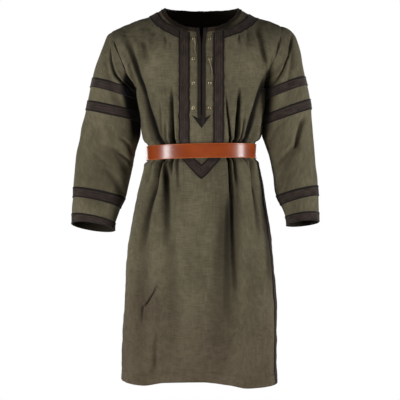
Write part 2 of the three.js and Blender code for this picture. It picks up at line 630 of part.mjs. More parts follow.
add("slit_arrow", geometryOf(laid("front", arrow, middle)), BROWN);

// Braid over the side seams of the skirt: the outermost cells of both panels, moved out together
const firstSideRow = rows.findIndex((_, i) => Math.round(downOfRow(i)) === SIDE_BRAID.from);
for (const side of ["left", "right"]) {
  const grid = frontGrid.grid.slice(firstSideRow).map((row, i) => {
    const behind = backGrid.grid[firstSideRow + i];
    const [a, b] = side === "left" ? [behind.at(-2), row[1]] : [row.at(-2), behind[1]];
    const [near, far] = side === "left" ? [row[0], behind.at(-1)] : [row.at(-1), behind[0]];
    const seam = { point: near.point.clone().lerp(far.point, 0.5), normal: near.normal };
    return [a, seam, b];
  });
  add(`side_braid_${side}`, wall({ grid, closed: false }, GAP + BRAID, GAP), BROWN);
}

// The armhole's edge on the body, at a turn round the sleeve, and the cloth's normal there
function armhole(side, turn) {
  const face = turn < 180 ? "front" : "back";
  const { surface, flip } = body(face);
  const level = Math.max((turn < 180 ? turn : 360 - turn) / 180, FIRST_ROW);
  const point = surface(side.sign, level);
  if (level === FIRST_ROW || level === 1) point.y = 0;
  return { point, normal: normalOf(surface, side.sign, level, flip) };
}

// A sleeve: closed rings between the outer and the inner point of each row of its table. The first
// ring is the body's own armhole edge, a gap away from it, and its upper half takes the body's normals,
// which fade out between two values of the turn's cosine.
const SEAM_GAP = 0.45;
const SEAM_NORMALS = { none: -0.2, full: 0.5 };
function sleeve(table, folds, side) {
  const rings = table.map((row, place) => ({ ...row, place }));
  const plain = (turn, place) => {
    const size = (column) => along(rings, "place", column, place);
    const cos = Math.cos(turn * DEGREE);
    const sin = Math.sin(turn * DEGREE);
    const out = new THREE.Vector3(size("outX"), size("y"), -size("outDown"));
    const inner = new THREE.Vector3(size("inX"), size("y"), -size("inDown"));
    const point = out.lerp(inner, (1 - cos) / 2);
    return point.add(new THREE.Vector3(0, -size("depth") * sin, (size("lift") / 2) * sin));
  };
  const folded = (turn, place) => {
    const down = along(rings, "place", "outDown", place);
    const radius = along(rings, "place", "depth", place);
    const depth = foldDepth(folds, turn, down, radius, ["turn0", "turn1"]);
    return plain(turn, place).addScaledVector(normalOf(plain, turn, place, side.sign), -depth);
  };
  const surface = (turn, place) => {
    const point = folded(turn, place);
    if (place >= 1) return point;
    const seam = armhole(side, THREE.MathUtils.euclideanModulo(turn, 360)).point;
    seam.x += side.sign * SEAM_GAP;
    return point.addScaledVector(seam.sub(folded(turn, 0)), (1 - Math.max(place, 0)) ** 2);
  };
  const places = [];
  const edges = {};
  const join = SLEEVE_JOIN.place + 0.5;
  for (const { place, steps, edge } of rings) {
    if (edge) edges[edge] = [...(edges[edge] ?? []), places.length];
    const count = place === rings.length - 1 ? 1 : steps;
    for (let i = 0; i < count; i++) places.push(place + i / steps);
    if (place === SLEEVE_JOIN.place) places.push(join - SLEEVE_JOIN.halfGap, join + SLEEVE_JOIN.halfGap);
  }
  const turns = Array.from({ length: SLEEVE_SIDES }, (_, i) => (-side.sign * 360 * i) / SLEEVE_SIDES);
  const made = gridOf({ surface, flip: side.sign }, () => turns, places);
  made.grid[0].forEach((cell, j) => {
    const turn = THREE.MathUtils.euclideanModulo(turns[j], 360);
    const share = smooth(SEAM_NORMALS.none, SEAM_NORMALS.full, Math.cos(turn * DEGREE));
    cell.normal.lerp(armhole(side, turn).normal, share).normalize();
  });
  return { grid: made.grid, edges, lower: places.findIndex((place) => place > join) };
}
for (const [name, table, folds, side] of [
  ["left", LEFT_SLEEVE, LEFT_SLEEVE_FOLDS, LEFT],
  ["right", RIGHT_SLEEVE, RIGHT_SLEEVE_FOLDS, RIGHT],
]) {
  const { grid, edges, lower } = sleeve(table, folds, side);
  add(`upper_sleeve_${name}`, wall({ grid: grid.slice(0, lower), closed: true }, 0, -CLOTH), OLIVE);
  add(`lower_sleeve_${name}`, wall({ grid: grid.slice(lower), closed: true }, 0, -CLOTH), OLIVE);
  for (const [edge, [from, to]] of Object.entries(edges)) {
    const cells = { grid: grid.slice(from, to + 1), closed: true };
    add(`sleeve_${name}_braid_${edge}`, wall(cells, GAP + BRAID, GAP), BROWN);
  }
}

// The belt's inner face in plan, by distance along it from the buckle end
const loop = Array.from({ length: BELT_SAMPLES + 1 }, (_, i) => {
  const angle = BUCKLE.angle + (360 * i) / BELT_SAMPLES;
  const at = (turn) => {
    const { x, y } = section(turn, BELT.down);
    return new THREE.Vector3(x, y, 0);
  };
  const tangent = at(angle + STEP).sub(at(angle - STEP)).normalize();
  const normal = new THREE.Vector3(tangent.y, -tangent.x, 0);
  const point = at(angle).addScaledVector(normal, CINCH.clear - CINCH.depth);
  return { angle, point, distance: 0 };
});
for (let i = 1; i <= BELT_SAMPLES; i++)
  loop[i].distance = loop[i - 1].distance + loop[i].point.distanceTo(loop[i - 1].point);
const girth = loop[BELT_SAMPLES].distance;
function onBelt(distance) {
  const place = THREE.MathUtils.euclideanModulo(distance, girth);
  const i = Math.max(1, loop.findIndex((sample) => sample.distance >= place));
  const [a, b] = [loop[i - 1], loop[i]];
  const share = (place - a.distance) / (b.distance - a.distance);
  const point = a.point.clone().lerp(b.point, share);
  point.z = -BELT.down - beltShift(lerp(a.angle, b.angle, share));
  const tangent = b.point.clone().sub(a.point).normalize();
  return { point, tangent, normal: new THREE.Vector3(tangent.y, -tangent.x, 0) };
}

// The strap: once round and on over its own start, rising through the buckle to lie on it
const strapEnd = girth + TAIL.length;
const strapSteps = Math.round((BELT_SIDES * strapEnd) / girth);
const strapRow = (sign) =>
  Array.from({ length: strapSteps + 1 }, (_, i) => {
    const distance = (strapEnd * i) / strapSteps;
    const { point, normal } = onBelt(distance);
    point.addScaledVector(normal, TAIL.lift * smooth(TAIL.riseFrom, TAIL.riseTo, distance - girth));
    const past = Math.max(0, distance - strapEnd + TAIL.point) / TAIL.point;
    point.z += (sign * BELT.height * Math.sqrt(1 - TAIL.taper * past * past)) / 2;
    return { point, normal };
  });
let strap = solid(wall({ grid: [strapRow(1), strapRow(-1)], closed: false }, LEATHER, 0));

// Places a shape that is drawn flat against the belt: x along it, y up and z outwards
function onStrap(geometry, distance, off) {
  const { point, tangent, normal } = onBelt(distance);
  const basis = new THREE.Matrix4().makeBasis(tangent, new THREE.Vector3(0, 0, 1), normal);
  const at = point.addScaledVector(normal, off);
  return geometry.applyMatrix4(basis).translate(at.x, at.y, at.z);
}
const rectangle = (width, height) => {
  const corners = [[-1, -1], [1, -1], [1, 1], [-1, 1]];
  return corners.map(([x, y]) => new THREE.Vector2((x * width) / 2, (y * height) / 2));
};
for (let i = 0; i < TAIL_HOLES.count; i++) {
  const { first, step, radius, depth } = TAIL_HOLES;
  const hole = new THREE.CylinderGeometry(radius, radius, depth, ROUND_SIDES).rotateX(Math.PI / 2);
  strap = strap.subtract(solid(onStrap(hole, first + i * step, TAIL.lift + (depth - GAP) / 2)));
}
const slot = new THREE.BoxGeometry(PRONG_SLOT.to - PRONG_SLOT.from, PRONG_SLOT.width, PRONG_SLOT.depth);
strap = strap.subtract(solid(onStrap(slot, (PRONG_SLOT.to + PRONG_SLOT.from) / 2, 0)));
add("belt_strap", geometryOf(strap), TAN);

// The buckle frame lies tilted, its heel under the tail and its tip over the strap
const buckleLength = BUCKLE.to - BUCKLE.from;
function hollowFrame(width, height, bar, depth) {
  const shape = new THREE.Shape(rectangle(width, height));
  shape.holes.push(new THREE.Path(rectangle(width - 2 * bar, height - 2 * bar)));
  return new THREE.ExtrudeGeometry(shape, { depth, bevelEnabled: false });
}
const buckle = hollowFrame(buckleLength, BUCKLE.height, BUCKLE.bar, BUCKLE.thick);
buckle.translate(-buckleLength / 2, 0, 0).rotateY(BUCKLE.tilt * DEGREE);
add("belt_buckle", onStrap(buckle, BUCKLE.to, BUCKLE.off), METAL);
const prongRun = PRONG.from - PRONG.to;
const prongRise = PRONG.high - PRONG.low;
const prongLength = Math.hypot(prongRun, prongRise);
const prong = new THREE.CylinderGeometry(PRONG.radius, PRONG.radius, prongLength, ROUND_SIDES);
prong.rotateZ(Math.PI / 2).rotateY(Math.atan2(prongRise, prongRun));
prong.translate((PRONG.from + PRONG.to) / 2 - BUCKLE.to, 0, (PRONG.low + PRONG.high) / 2);
add("belt_prong", onStrap(prong, BUCKLE.to, 0), METAL);

// The keeper is a loop of leather round the strap and the tail on it
const stack = LEATHER + TAIL.lift;
const around = 2 * (KEEPER.clear + KEEPER.thick);
const keeper = hollowFrame(BELT.height + around, stack + around, KEEPER.thick, KEEPER.width);
keeper.translate(0, 0, -KEEPER.width / 2).rotateY(Math.PI / 2).rotateX(Math.PI / 2);
add("belt_keeper", onStrap(keeper, KEEPER.at, stack / 2), TAN);

// Laces
for (const [name, places] of [["left", LEFT_LACE], ["right", RIGHT_LACE]]) {
  const points = places.map(({ x, down, off }) => {
    const { point, normal } = seat(x, down);
    return point.addScaledVector(normal, off);
  });
  const circle = new THREE.Shape(
    Array.from({ length: ROUND_SIDES }, (_, i) => {
      const turn = (2 * Math.PI * i) / ROUND_SIDES;
      return new THREE.Vector2(Math.cos(turn), Math.sin(turn)).multiplyScalar(LACE_RADIUS);
    }),
  );
  const settings = { extrudePath: new THREE.CatmullRomCurve3(points), steps: LACE_STEPS };
  add(`lace_${name}`, new THREE.ExtrudeGeometry(circle, settings), CORD);
}

export default group;
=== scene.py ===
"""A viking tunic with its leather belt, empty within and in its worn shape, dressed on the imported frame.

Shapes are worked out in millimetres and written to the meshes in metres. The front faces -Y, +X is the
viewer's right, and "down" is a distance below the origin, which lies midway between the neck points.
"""

import logging
import math
from collections.abc import Callable, Sequence
from dataclasses import dataclass
from enum import Enum
from typing import Any

import bpy
import numpy as np
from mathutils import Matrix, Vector


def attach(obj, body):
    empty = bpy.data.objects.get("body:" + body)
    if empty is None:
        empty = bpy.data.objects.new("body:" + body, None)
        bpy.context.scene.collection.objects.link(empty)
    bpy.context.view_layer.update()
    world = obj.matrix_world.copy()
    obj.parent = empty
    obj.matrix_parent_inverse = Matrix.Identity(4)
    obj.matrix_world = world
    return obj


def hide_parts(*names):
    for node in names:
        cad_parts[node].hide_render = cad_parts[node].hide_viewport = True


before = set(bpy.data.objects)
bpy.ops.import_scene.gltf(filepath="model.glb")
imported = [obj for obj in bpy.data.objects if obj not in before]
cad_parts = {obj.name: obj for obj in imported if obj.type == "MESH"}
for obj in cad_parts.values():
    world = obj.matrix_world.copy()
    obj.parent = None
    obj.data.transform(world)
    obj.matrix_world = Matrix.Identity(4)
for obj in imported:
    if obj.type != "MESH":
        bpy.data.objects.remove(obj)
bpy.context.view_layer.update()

Array = np.ndarray
Colour = tuple[float, float, float]
Piece = bpy.types.Object
Material = bpy.types.Material
Socket = bpy.types.NodeSocket
LOG = logging.getLogger("tunic")

MM = 0.001
DEGREE = math.pi / 180
UP = np.array([0.0, 0.0, 1.0])

# Thicknesses in the model, and the gap that the pieces keep
CLOTH = 1.6
BRAID = 1.3
LEATHER = 3.5
GAP = 0.3

# How dark a shade is painted on the inside of the cloth
INNER_SHADE_PAINT = 0.66

# A fold's rims: where they stand and how wide they are, in half-widths of the fold
RIM_PLACE = 1.9
RIM_WIDTH = 0.8

# How folds and creases fade in and out, as shares of their length before and after each end
FOLD_FADE = (0.15, 0.15)
CREASE_FADE = (0.12, 0.22)

# How many waves an unevenness has, and how their directions spread, in radians
WAVE_COUNT = 26
WAVE_SPREAD = 0.55

# The longest and the shortest wave of a strip's edges
STRIP_WAVES = (70, 9)


class Slot(Enum):
    """The material slots."""

    CLOTH = "cloth"
    BRAID = "braid"
    LEATHER = "leather"
    METAL = "metal"
    CORD = "cord"


class Face(Enum):
    """The two panels of the body."""

    FRONT = "front"
    BACK = "back"


def smooth(low: float, high: float, x: Array) -> Array:
    """A soft step: 0 up to low, 1 from high, and 3t² - 2t³ between them."""
    t = np.clip((x - low) / (high - low), 0, 1)
    return t * t * (3 - 2 * t)


def mix(a: Any, b: Any, share: Any) -> Any:
    """The value a share of the way from a to b."""
    return a + (b - a) * share


def unit(vectors: Array) -> Array:
    """Vectors of length 1."""
    return vectors / np.maximum(np.linalg.norm(vectors, axis=-1, keepdims=True), 1e-9)


def halved(past: Callable[[Array], Array], low: Any, high: Any, size: tuple[int, ...]) -> Array:
    """Where a test turns from false to true between low and high, by halving, for a whole array at once.

    Args:
        past: the test, which takes an array of places.
        low, high: the ends of the search.
        size: the array's shape.

    Returns:
        The places.
    """
    low = np.broadcast_to(np.asarray(low, float), size).copy()
    high = np.broadcast_to(np.asarray(high, float), size).copy()
    for _ in range(34):
        middle = (low + high) / 2
        over = past(middle)
        high = np.where(over, middle, high)
        low = np.where(over, low, middle)
    return (low + high) / 2


@dataclass(frozen=True)
class Table:
    """Rows of numbers under named columns. The first column is the place that the others are read at."""

    names: tuple[str, ...]
    rows: tuple[tuple[float, ...], ...]

    def column(self, name: str) -> Array:
        """One column as an array."""
        return np.array([row[self.names.index(name)] for row in self.rows], float)

    def at(self, name: str, place: Array) -> Array:
        """A column read at places between its rows, on a smooth curve that never overshoots them.

        The slope at a row is the harmonic mean of the slopes on its two sides, or 0 at a turning point.
        """
        keys = self.column(self.names[0])
        values = self.column(name)
        place = np.clip(place, keys[0], keys[-1])
        i = np.clip(np.searchsorted(keys, place, side="left") - 1, 0, len(keys) - 2)
        steps = np.diff(keys)
        chords = np.diff(values) / steps
        before = np.concatenate([chords[:1], chords])
        after = np.concatenate([chords, chords[-1:]])
        same = before * after > 0
        slopes = np.where(same, 2 * before * after / np.where(same, before + after, 1), 0)
        t = (place - keys[i]) / steps[i]
        rise = values[i + 1] - values[i]
        bend0 = slopes[i] * steps[i] - rise
        bend1 = rise - slopes[i + 1] * steps[i]
        return values[i] + t * rise + t * (1 - t) * ((1 - t) * bend0 + t * bend1)


# Level sections of the body: half-widths at the viewer's left and right, depths in front and behind
SECTIONS = Table(
    ("down", "left", "right", "front", "back"),
    (
        (226, 188, 184, 126, 118),
        (262, 180, 178, 128, 117),
        (300, 173, 173, 128, 115),
        (340, 169, 170, 123, 110),
        (362, 164, 166, 117, 104),
        (378, 157, 157, 112, 100),
        (424, 157, 157, 112, 100),
        (463, 164, 164, 119, 111),
        (514, 178, 175, 128, 123),
        (581, 191, 186, 138, 134),
        (670, 206, 197, 149, 143),
        (805, 214, 208, 158, 149),
        (939, 220, 208, 164, 152),
        (1060, 223, 211, 168, 155),
    ),
)

# How far the side seams are turned towards the viewer's left
TWIST = Table(("down", "degrees"), ((226, 0), (400, 6), (520, 12), (700, 14), (1060, 14)))

# How much lower than its own level the hem hangs, round the body from the middle of the front
HEM_DROP = Table(
    ("angle", "drop"),
    (
        (-180, 8), (-130, 14), (-90, 2), (-44, 6), (-25, -5), (0, -8),
        (20, 1), (35, 12), (70, 13), (95, 3), (130, 0), (180, 8),
    ),
)

# The largest folds of the body. Angle 0 is the middle of the front, 90 the viewer's right, 180 the back.
# The tone is how dark the shade painted at the bottom of a fold is, from 0 to 1.
FOLD_COLUMNS = ("place0", "down0", "place1", "down1", "width0", "width1", "depth0", "depth1", "tone")
FOLDS = Table(
    FOLD_COLUMNS,
    (
        (-84, 110, -42, 400, 16, 9, 3, 6, 0),
        (-29, 250, -30, 400, 7, 9, 2, 11, 0.3),
        (31, 290, 38, 400, 6, 8, 2, 9, 0.3),
        (84, 130, 51, 400, 18, 10, 4, 6, 0),
        (52, 50, 74, 190, 12, 11, 3, 4, 0.2),
        (-112, 150, -128, 400, 18, 10, 3, 11, 0.3),
        (-160, 250, -158, 400, 9, 10, 2, 10, 0.3),
        (168, 270, 164, 400, 8, 9, 2, 9, 0.3),
        (108, 150, 132, 400, 18, 10, 3, 12, 0.3),
        (-44, 402, -55, 700, 8, 20, 12, 3, 0.3),
        (-34, 402, -26, 640, 9, 16, 11, 2, 0.3),
        (30, 402, 25, 560, 6, 9, 8, 2, 0.3),
        (37, 402, 16, 900, 9, 34, 11, 9, 0.4),
        (60, 402, 54, 640, 9, 16, 11, 2, 0.3),
        (-128, 402, -122, 760, 9, 26, 11, 5, 0.3),
        (-156, 402, -160, 700, 9, 22, 10, 4, 0.3),
        (166, 402, 172, 880, 9, 30, 10, 8, 0.3),
        (132, 402, 126, 720, 10, 24, 11, 5, 0.3),
        (104, 420, 106, 620, 9, 18, 8, 2, 0.2),
    ),
)

# Finer creases, placed in front view (and for the back as x-rayed from the front): where each
# starts and ends, how far it bows to one side, its half-widths and depths at both ends, and the tone of the
# shade painted in it.
CREASE_COLUMNS = ("x0", "down0", "x1", "down1", "bow", "width0", "width1", "depth0", "depth1", "tone")
FRONT_CREASES = Table(
    CREASE_COLUMNS,
    (
        # under the neck braid and on the shoulders
        (-98, 88, -101, 128, 1, 3.4, 7, 4, 0.8, 0.45),
        (-84, 104, -86, 130, 0, 3, 5, 2.6, 0.6, 0.4),
        (102, 84, 106, 124, -1, 3.4, 7, 4, 1, 0.5),
        (124, 74, 131, 124, 1, 3.6, 8, 4, 1, 0.4),
        (148, 52, 177, 176, 4, 8, 10, 6, 5, 0.45),
        (-162, 98, -152, 160, 3, 8, 12, 5, 2.5, 0.45),
        (-128, 70, -134, 104, 1, 8, 12, 2.5, 1, 0.3),
        (-226, 76, -168, 82, -2, 3.4, 3.4, 1.1, 0.8, 0),
        (60, 140, 66, 230, 4, 12, 16, 1.4, 1, 0),
        (-120, 160, -104, 250, -6, 14, 16, 1.8, 1.2, 0),
        # running down to the belt
        (-205, 84, -106, 414, -4, 9.5, 10, 8, 14, 1),
        (-190, 100, -98, 420, -4, 20, 24, 1, 1.6, 0.36),
        (-148, 300, -128, 400, 2, 5, 5, 1, 5, 0.4),
        (-81, 230, -80, 414, 0, 3.8, 6, 9, 17, 1),
        (-113, 262, -108, 408, 0, 3, 4, 1.5, 6, 0.5),
        (-99, 320, -96, 410, -1, 3, 4, 2, 7, 0.5),
        (-66, 326, -65, 410, 0, 2.8, 3.6, 1, 5, 0.4),
        (66, 250, 84, 410, 1, 3, 4.4, 6, 12, 0.95),
        (104, 230, 94, 414, 0, 4.4, 6.2, 9, 17, 1),
        (116, 306, 106, 412, 0, 3.2, 4, 3.4, 11, 0.95),
        (184, 172, 112, 416, 1, 9.5, 10.5, 8, 14, 1),
        (150, 330, 137, 410, 0, 4, 4, 1.5, 6, 0.4),
        (26, 330, 24, 400, 0, 5, 6, 0.5, 1.8, 0),
        # opening out under the belt
        (-107, 392, -128, 530, -2, 4.8, 7.5, 14, 7, 1),
        (-122, 480, -173, 720, -6, 8, 18, 7, 1.2, 0.85),
        (-86, 392, -84, 474, 0, 4, 5, 12, 4, 0.9),
        (-102, 420, -94, 690, 3, 6, 15, 10, 1.4, 0.9),
        (-67, 392, -63, 520, 0, 3.6, 7, 9, 2, 0.7),
        (-132, 396, -150, 500, -2, 4, 8, 7, 1.5, 0.5),
        (73, 392, 83, 530, 1, 3.4, 5, 13, 7, 1),
        (88, 392, 97, 492, 1, 2.8, 3.6, 10, 3, 0.8),
        (82, 490, 93, 830, 0, 6, 11, 6, 1.8, 0.95),
        (76, 500, 72, 920, -3, 11, 24, 4, 1.4, 0.72),
        (64, 510, 50, 1000, -5, 18, 46, 3, 1.2, 0.48),
        (101, 520, 102, 900, 2, 9, 15, -4, -2, 0),
        (118, 394, 130, 452, 0, 3.4, 5, 9, 2, 0.6),
        (135, 392, 144, 520, 0, 3.4, 5, 12, 5, 1),
        (140, 480, 158, 640, 3, 6, 14, 6, 2, 0.7),
        (20, 430, 22, 470, 0, 6, 8, 1, 0.4, 0),
        # soft undulations and thin creases low in the skirt
        (-120, 766, -162, 828, 3, 2.4, 3, 3.6, 3.8, 0.85),
        (-162, 818, -169, 884, 0, 3, 7, 3.8, 1, 0.75),
        (-169, 866, -174, 926, 0, 5, 8, 1.8, 0.8, 0.3),
        (-84, 786, -81, 848, 0, 4, 6, 1.8, 0.5, 0.35),
        (-118, 870, -128, 1004, -3, 5, 8, 1.6, 4.2, 0.5),
        (-128, 992, -144, 1016, 0, 6, 8, 3.4, 1, 0.25),
        (-40, 560, -30, 780, 10, 26, 34, 3, 2, 0.12),
        (0, 700, 6, 980, -8, 24, 30, 2.4, 2.4, 0.12),
        (-88, 600, -84, 980, 6, 20, 28, 4.4, 2.4, 0.34),
        (-150, 620, -172, 1010, -5, 18, 28, 5, 3.4, 0.34),
        (130, 640, 138, 960, 5, 18, 24, 3.4, 2.6, 0.22),
        (44, 880, 50, 1020, 2, 14, 18, 2.4, 3.4, 0.2),
        (168, 480, 196, 800, 3, 12, 18, 3.4, 1.6, 0.7),
        (-10, 486, 26, 488, 0, 2.6, 2.6, 0.8, 0.6, 0.15),
    ),
)
BACK_CREASES = Table(
    CREASE_COLUMNS,
    (
        (-150, 92, -140, 150, 3, 7, 11, 4, 1.6, 0.4),
        (148, 84, 138, 148, -3, 7, 11, 4, 1.6, 0.4),
        (-206, 110, -146, 340, 14, 9, 9, 6, 12, 0.8),
        (196, 120, 142, 340, -13, 9, 9, 6, 12, 0.8),
        (-40, 70, -46, 150, 3, 12, 16, 1.8, 0.8, 0),
        (52, 74, 56, 170, -4, 12, 16, 1.6, 0.8, 0),
        (-132, 240, -110, 410, 3, 6, 7, 4, 18, 1),
        (-84, 290, -82, 410, 0, 4, 6, 2.5, 14, 0.9),
        (-56, 330, -55, 410, 0, 3, 4, 1, 6, 0.5),
        (-30, 270, -28, 410, 1, 5, 6, 2, 14, 0.9),
        (22, 250, 26, 410, -1, 5, 6.5, 2.4, 16, 1),
        (52, 330, 52, 410, 0, 3, 4, 1, 6, 0.5),
        (78, 280, 78, 410, 0, 4, 6, 2.5, 15, 0.9),
        (130, 250, 104, 410, -3, 6, 7, 4, 18, 1),
        (-110, 392, -132, 560, -4, 5, 11, 16, 5, 0.9),
        (-84, 394, -92, 510, -2, 4.5, 8, 13, 3, 0.9),
        (-50, 392, -50, 610, 3, 5, 15, 14, 4, 0.8),
        (-22, 394, -22, 480, 0, 4, 6, 9, 1.5, 0.7),
        (28, 392, 34, 570, 2, 5, 12, 15, 3.5, 0.9),
        (58, 394, 66, 490, 1, 4, 6, 9, 2, 0.7),
        (86, 392, 104, 630, 5, 5, 15, 16, 5, 0.9),
        (122, 394, 138, 530, 2, 4.5, 9, 12, 3, 0.8),
        (-70, 600, -80, 940, -8, 20, 28, 4.6, 3.5, 0.25),
        (10, 620, 4, 960, 6, 22, 30, 4.2, 3, 0.2),
        (96, 640, 108, 980, 6, 18, 24, 4.2, 3, 0.25),
        (-150, 620, -158, 900, -4, 14, 20, 3.6, 2.2, 0.25),
        (150, 700, 156, 960, 4, 14, 18, 3.2, 2, 0.2),
        (-20, 820, -44, 870, 2, 2.6, 3.4, 3, 1.8, 0.5),
        (60, 900, 84, 950, -2, 2.8, 4.4, 2.8, 1.2, 0.4),
    ),
)

# The sleeves' rings, from the armhole to the cuff: outer and inner point in front view, then the middle
# and half of the depth, and how much higher the front is than the back
RING_COLUMNS = ("place", "out_x", "out_down", "in_x", "in_down", "y", "depth", "lift")
LEFT_RINGS = Table(
    RING_COLUMNS,
    (
        (0, -252, 68, -178.4, 226, -2, 68, 0),
        (1, -263, 78, -179, 228, 1, 73, 2),
        (2, -276, 106, -179.1, 229, 4, 75, 4),
        (3, -290, 144, -179.2, 230, 5, 75, 5),
        (4, -305, 194, -180, 236, 6, 74, 7),
        (5, -312, 221, -179.8, 263, 7, 73, 8),
        (6, -319, 257, -179.2, 291, 7, 72, 2),
        (7, -325, 285, -178, 319, 7, 70, 0),
        (8, -338, 350, -180, 372, 3, 66, 2),
        (9, -350, 420, -192, 434, -6, 62, 8),
        (10, -356, 501, -212, 530, -22, 56, 16),
        (11, -357, 530, -226, 559, -28, 54, 18),
        (12, -359, 575, -239, 600, -37, 50, 22),
        (13, -360, 602, -240, 619, -42, 48, 25),
    ),
)
RIGHT_RINGS = Table(
    RING_COLUMNS,
    (
        (0, 221, 50, 174.4, 226, -2, 68, 0),
        (1, 240, 57, 175, 228, 1, 74, 2),
        (2, 262, 78, 175.2, 229, 4, 78, 4),
        (3, 279, 128, 175.4, 231, 5, 79, 6),
        (4, 290, 190, 176.2, 238, 6, 79, 8),
        (5, 296, 216, 176, 265, 7, 80, 7),
        (6, 304, 253, 176.2, 303, 8, 80, 3),
        (7, 309, 282, 176, 331, 8, 79, 2),
        (8, 312, 350, 179, 372, 4, 76, 3),
        (9, 318, 420, 195, 440, -5, 72, 6),
        (10, 323, 496, 208, 524, -20, 67, 12),
        (11, 324, 526, 222, 552, -26, 65, 15),
        (12, 325, 571, 233, 582, -34, 62, 17),
        (13, 326, 597, 237, 606, -38, 60, 18),
    ),
)

# The sleeves' folds. The turn is 0 at the outer side, 90 in front and 180 at the body, and the start and
# the end are heights on the outer side. The first rows are the largest.
LEFT_SLEEVE_FOLDS = Table(
    FOLD_COLUMNS,
    (
        (34, 80, 106, 250, 12, 16, 6, 7, 0.2),
        (68, 320, 62, 480, 20, 16, 5, 3, 0.18),
        (86, 370, 96, 560, 34, 34, 1, 1, 0.3),
        (104, 380, 150, 450, 14, 18, 6, 6, 0.4),
        (300, 90, 250, 260, 14, 18, 6, 6, 0.3),
        (250, 350, 200, 440, 16, 16, 6, 5, 0.3),
        (48, 90, 94, 168, 8, 10, 7, 8, 0.7),
        (90, 160, 136, 214, 10, 14, 8, 6, 0.7),
        (122, 396, 166, 428, 6, 8, 6, 4, 0.5),
        (80, 300, 112, 380, 9, 12, 3, 3.5, 0.2),
        (118, 350, 164, 400, 8, 10, 4, 4.5, 0.4),
        (70, 402, 104, 440, 6, 9, 3, 2, 0.25),
        (92, 440, 150, 500, 11, 16, 4, 4, 0.4),
        (30, 300, 34, 470, 12, 14, 3, 2, 0),
        (280, 300, 262, 420, 12, 14, 3, 3, 0.2),
        (320, 160, 300, 300, 12, 14, 3, 2, 0.2),
        (60, 548, 66, 566, 10, 10, 1.4, 1.2, 0),
        (110, 540, 118, 570, 8, 9, 1.6, 1.4, 0.1),
        (250, 540, 244, 570, 10, 10, 1.4, 1.2, 0),
    ),
)
RIGHT_SLEEVE_FOLDS = Table(
    FOLD_COLUMNS,
    (
        (50, 66, 94, 240, 11, 14, 7, 6, 0.2),
        (54, 300, 80, 400, 12, 13, 6, 8, 0.3),
        (84, 385, 150, 490, 13, 15, 8, 6, 0.3),
        (300, 80, 252, 250, 14, 18, 6, 6, 0.3),
        (248, 340, 205, 440, 16, 16, 6, 5, 0.3),
        (34, 70, 80, 110, 7, 8, 6, 7, 0.55),
        (76, 104, 122, 182, 8, 14, 7, 5, 0.55),
        (56, 304, 80, 380, 7, 8, 5, 8, 0.6),
        (78, 376, 142, 430, 11, 16, 8, 6, 0.4),
        (110, 300, 150, 380, 9, 12, 3, 4, 0.3),
        (96, 440, 140, 510, 9, 10, 3, 4, 0.3),
        (28, 330, 34, 500, 12, 14, 3, 2, 0),
        (282, 300, 264, 420, 12, 14, 3, 3, 0.2),
        (320, 160, 300, 300, 12, 14, 3, 2, 0.2),
        (64, 546, 70, 566, 10, 10, 1.4, 1.2, 0),
        (112, 540, 120, 566, 8, 9, 1.6, 1.4, 0.1),
        (250, 540, 244, 566, 10, 10, 1.4, 1.2, 0),
    ),
)

# The laces' routes in front view, from their eyelet to the free end, and their height over the cloth
LACE_COLUMNS = ("x", "down", "off")
LEFT_LACE = Table(
    LACE_COLUMNS,
    (
        (-22, 94, -0.4), (-22, 94.2, 1.6), (-21.9, 94.8, 3.6), (-21.5, 96.4, 5), (-20.7, 98.8, 5.4),
        (-19.7, 101.6, 5), (-18.6, 104.6, 4), (-17.7, 107.8, 2.9), (-17.1, 111.2, 2.1), (-17, 114.8, 1.8),
        (-17.3, 118.4, 1.7), (-17.7, 122, 1.7), (-17.8, 125.4, 1.7), (-17.4, 128.8, 1.7),
        (-16.8, 132.4, 1.7), (-16.4, 136, 1.7),
    ),
)
RIGHT_LACE = Table(
    LACE_COLUMNS,
    (
        (22, 151, -0.4), (22, 151.2, 1.6), (21.9, 151.8, 3.6), (21.7, 153.4, 5), (21.5, 155.8, 5.4),
        (21.5, 158.6, 5), (21.9, 161.6, 4), (22.7, 164.8, 2.9), (23.8, 168.2, 2.1), (25, 171.6, 1.8),
        (26.1, 175.2, 1.7), (27.1, 178.8, 1.7), (27.8, 182.4, 1.7), (28.2, 186.2, 1.7),
        (28.3, 190, 1.7), (28.1, 193.6, 1.7), (27.6, 197, 1.7),
    ),
)


def trough(across: Array, rim: float) -> Array:
    """The section of a fold: a bell of depth 1, less a low rim on either side.

    The bell is e^(-d²), and each rim is a narrower bell at the rims' place.
    """
    return np.exp(-(across**2)) - rim * np.exp(-(((np.abs(across) - RIM_PLACE) / RIM_WIDTH) ** 2))


def faded(t: Array, fade: tuple[float, float]) -> Array:
    """How much of a fold shows at a share of its length: soft steps at both ends."""
    before, after = fade
    return smooth(-before, after, t) * (1 - smooth(1 - after, 1 + before, t))


def shade_bell(across: Array, depth: Array) -> Array:
    """How dark the shade painted in a fold is: a flat-topped bell, e^(-|d|³), times its share of its depth,
    softened.
    """
    share = np.abs(depth) / max(float(np.abs(depth).max()), 1e-6)
    return np.exp(-(np.abs(across) ** 3)) * share**0.8


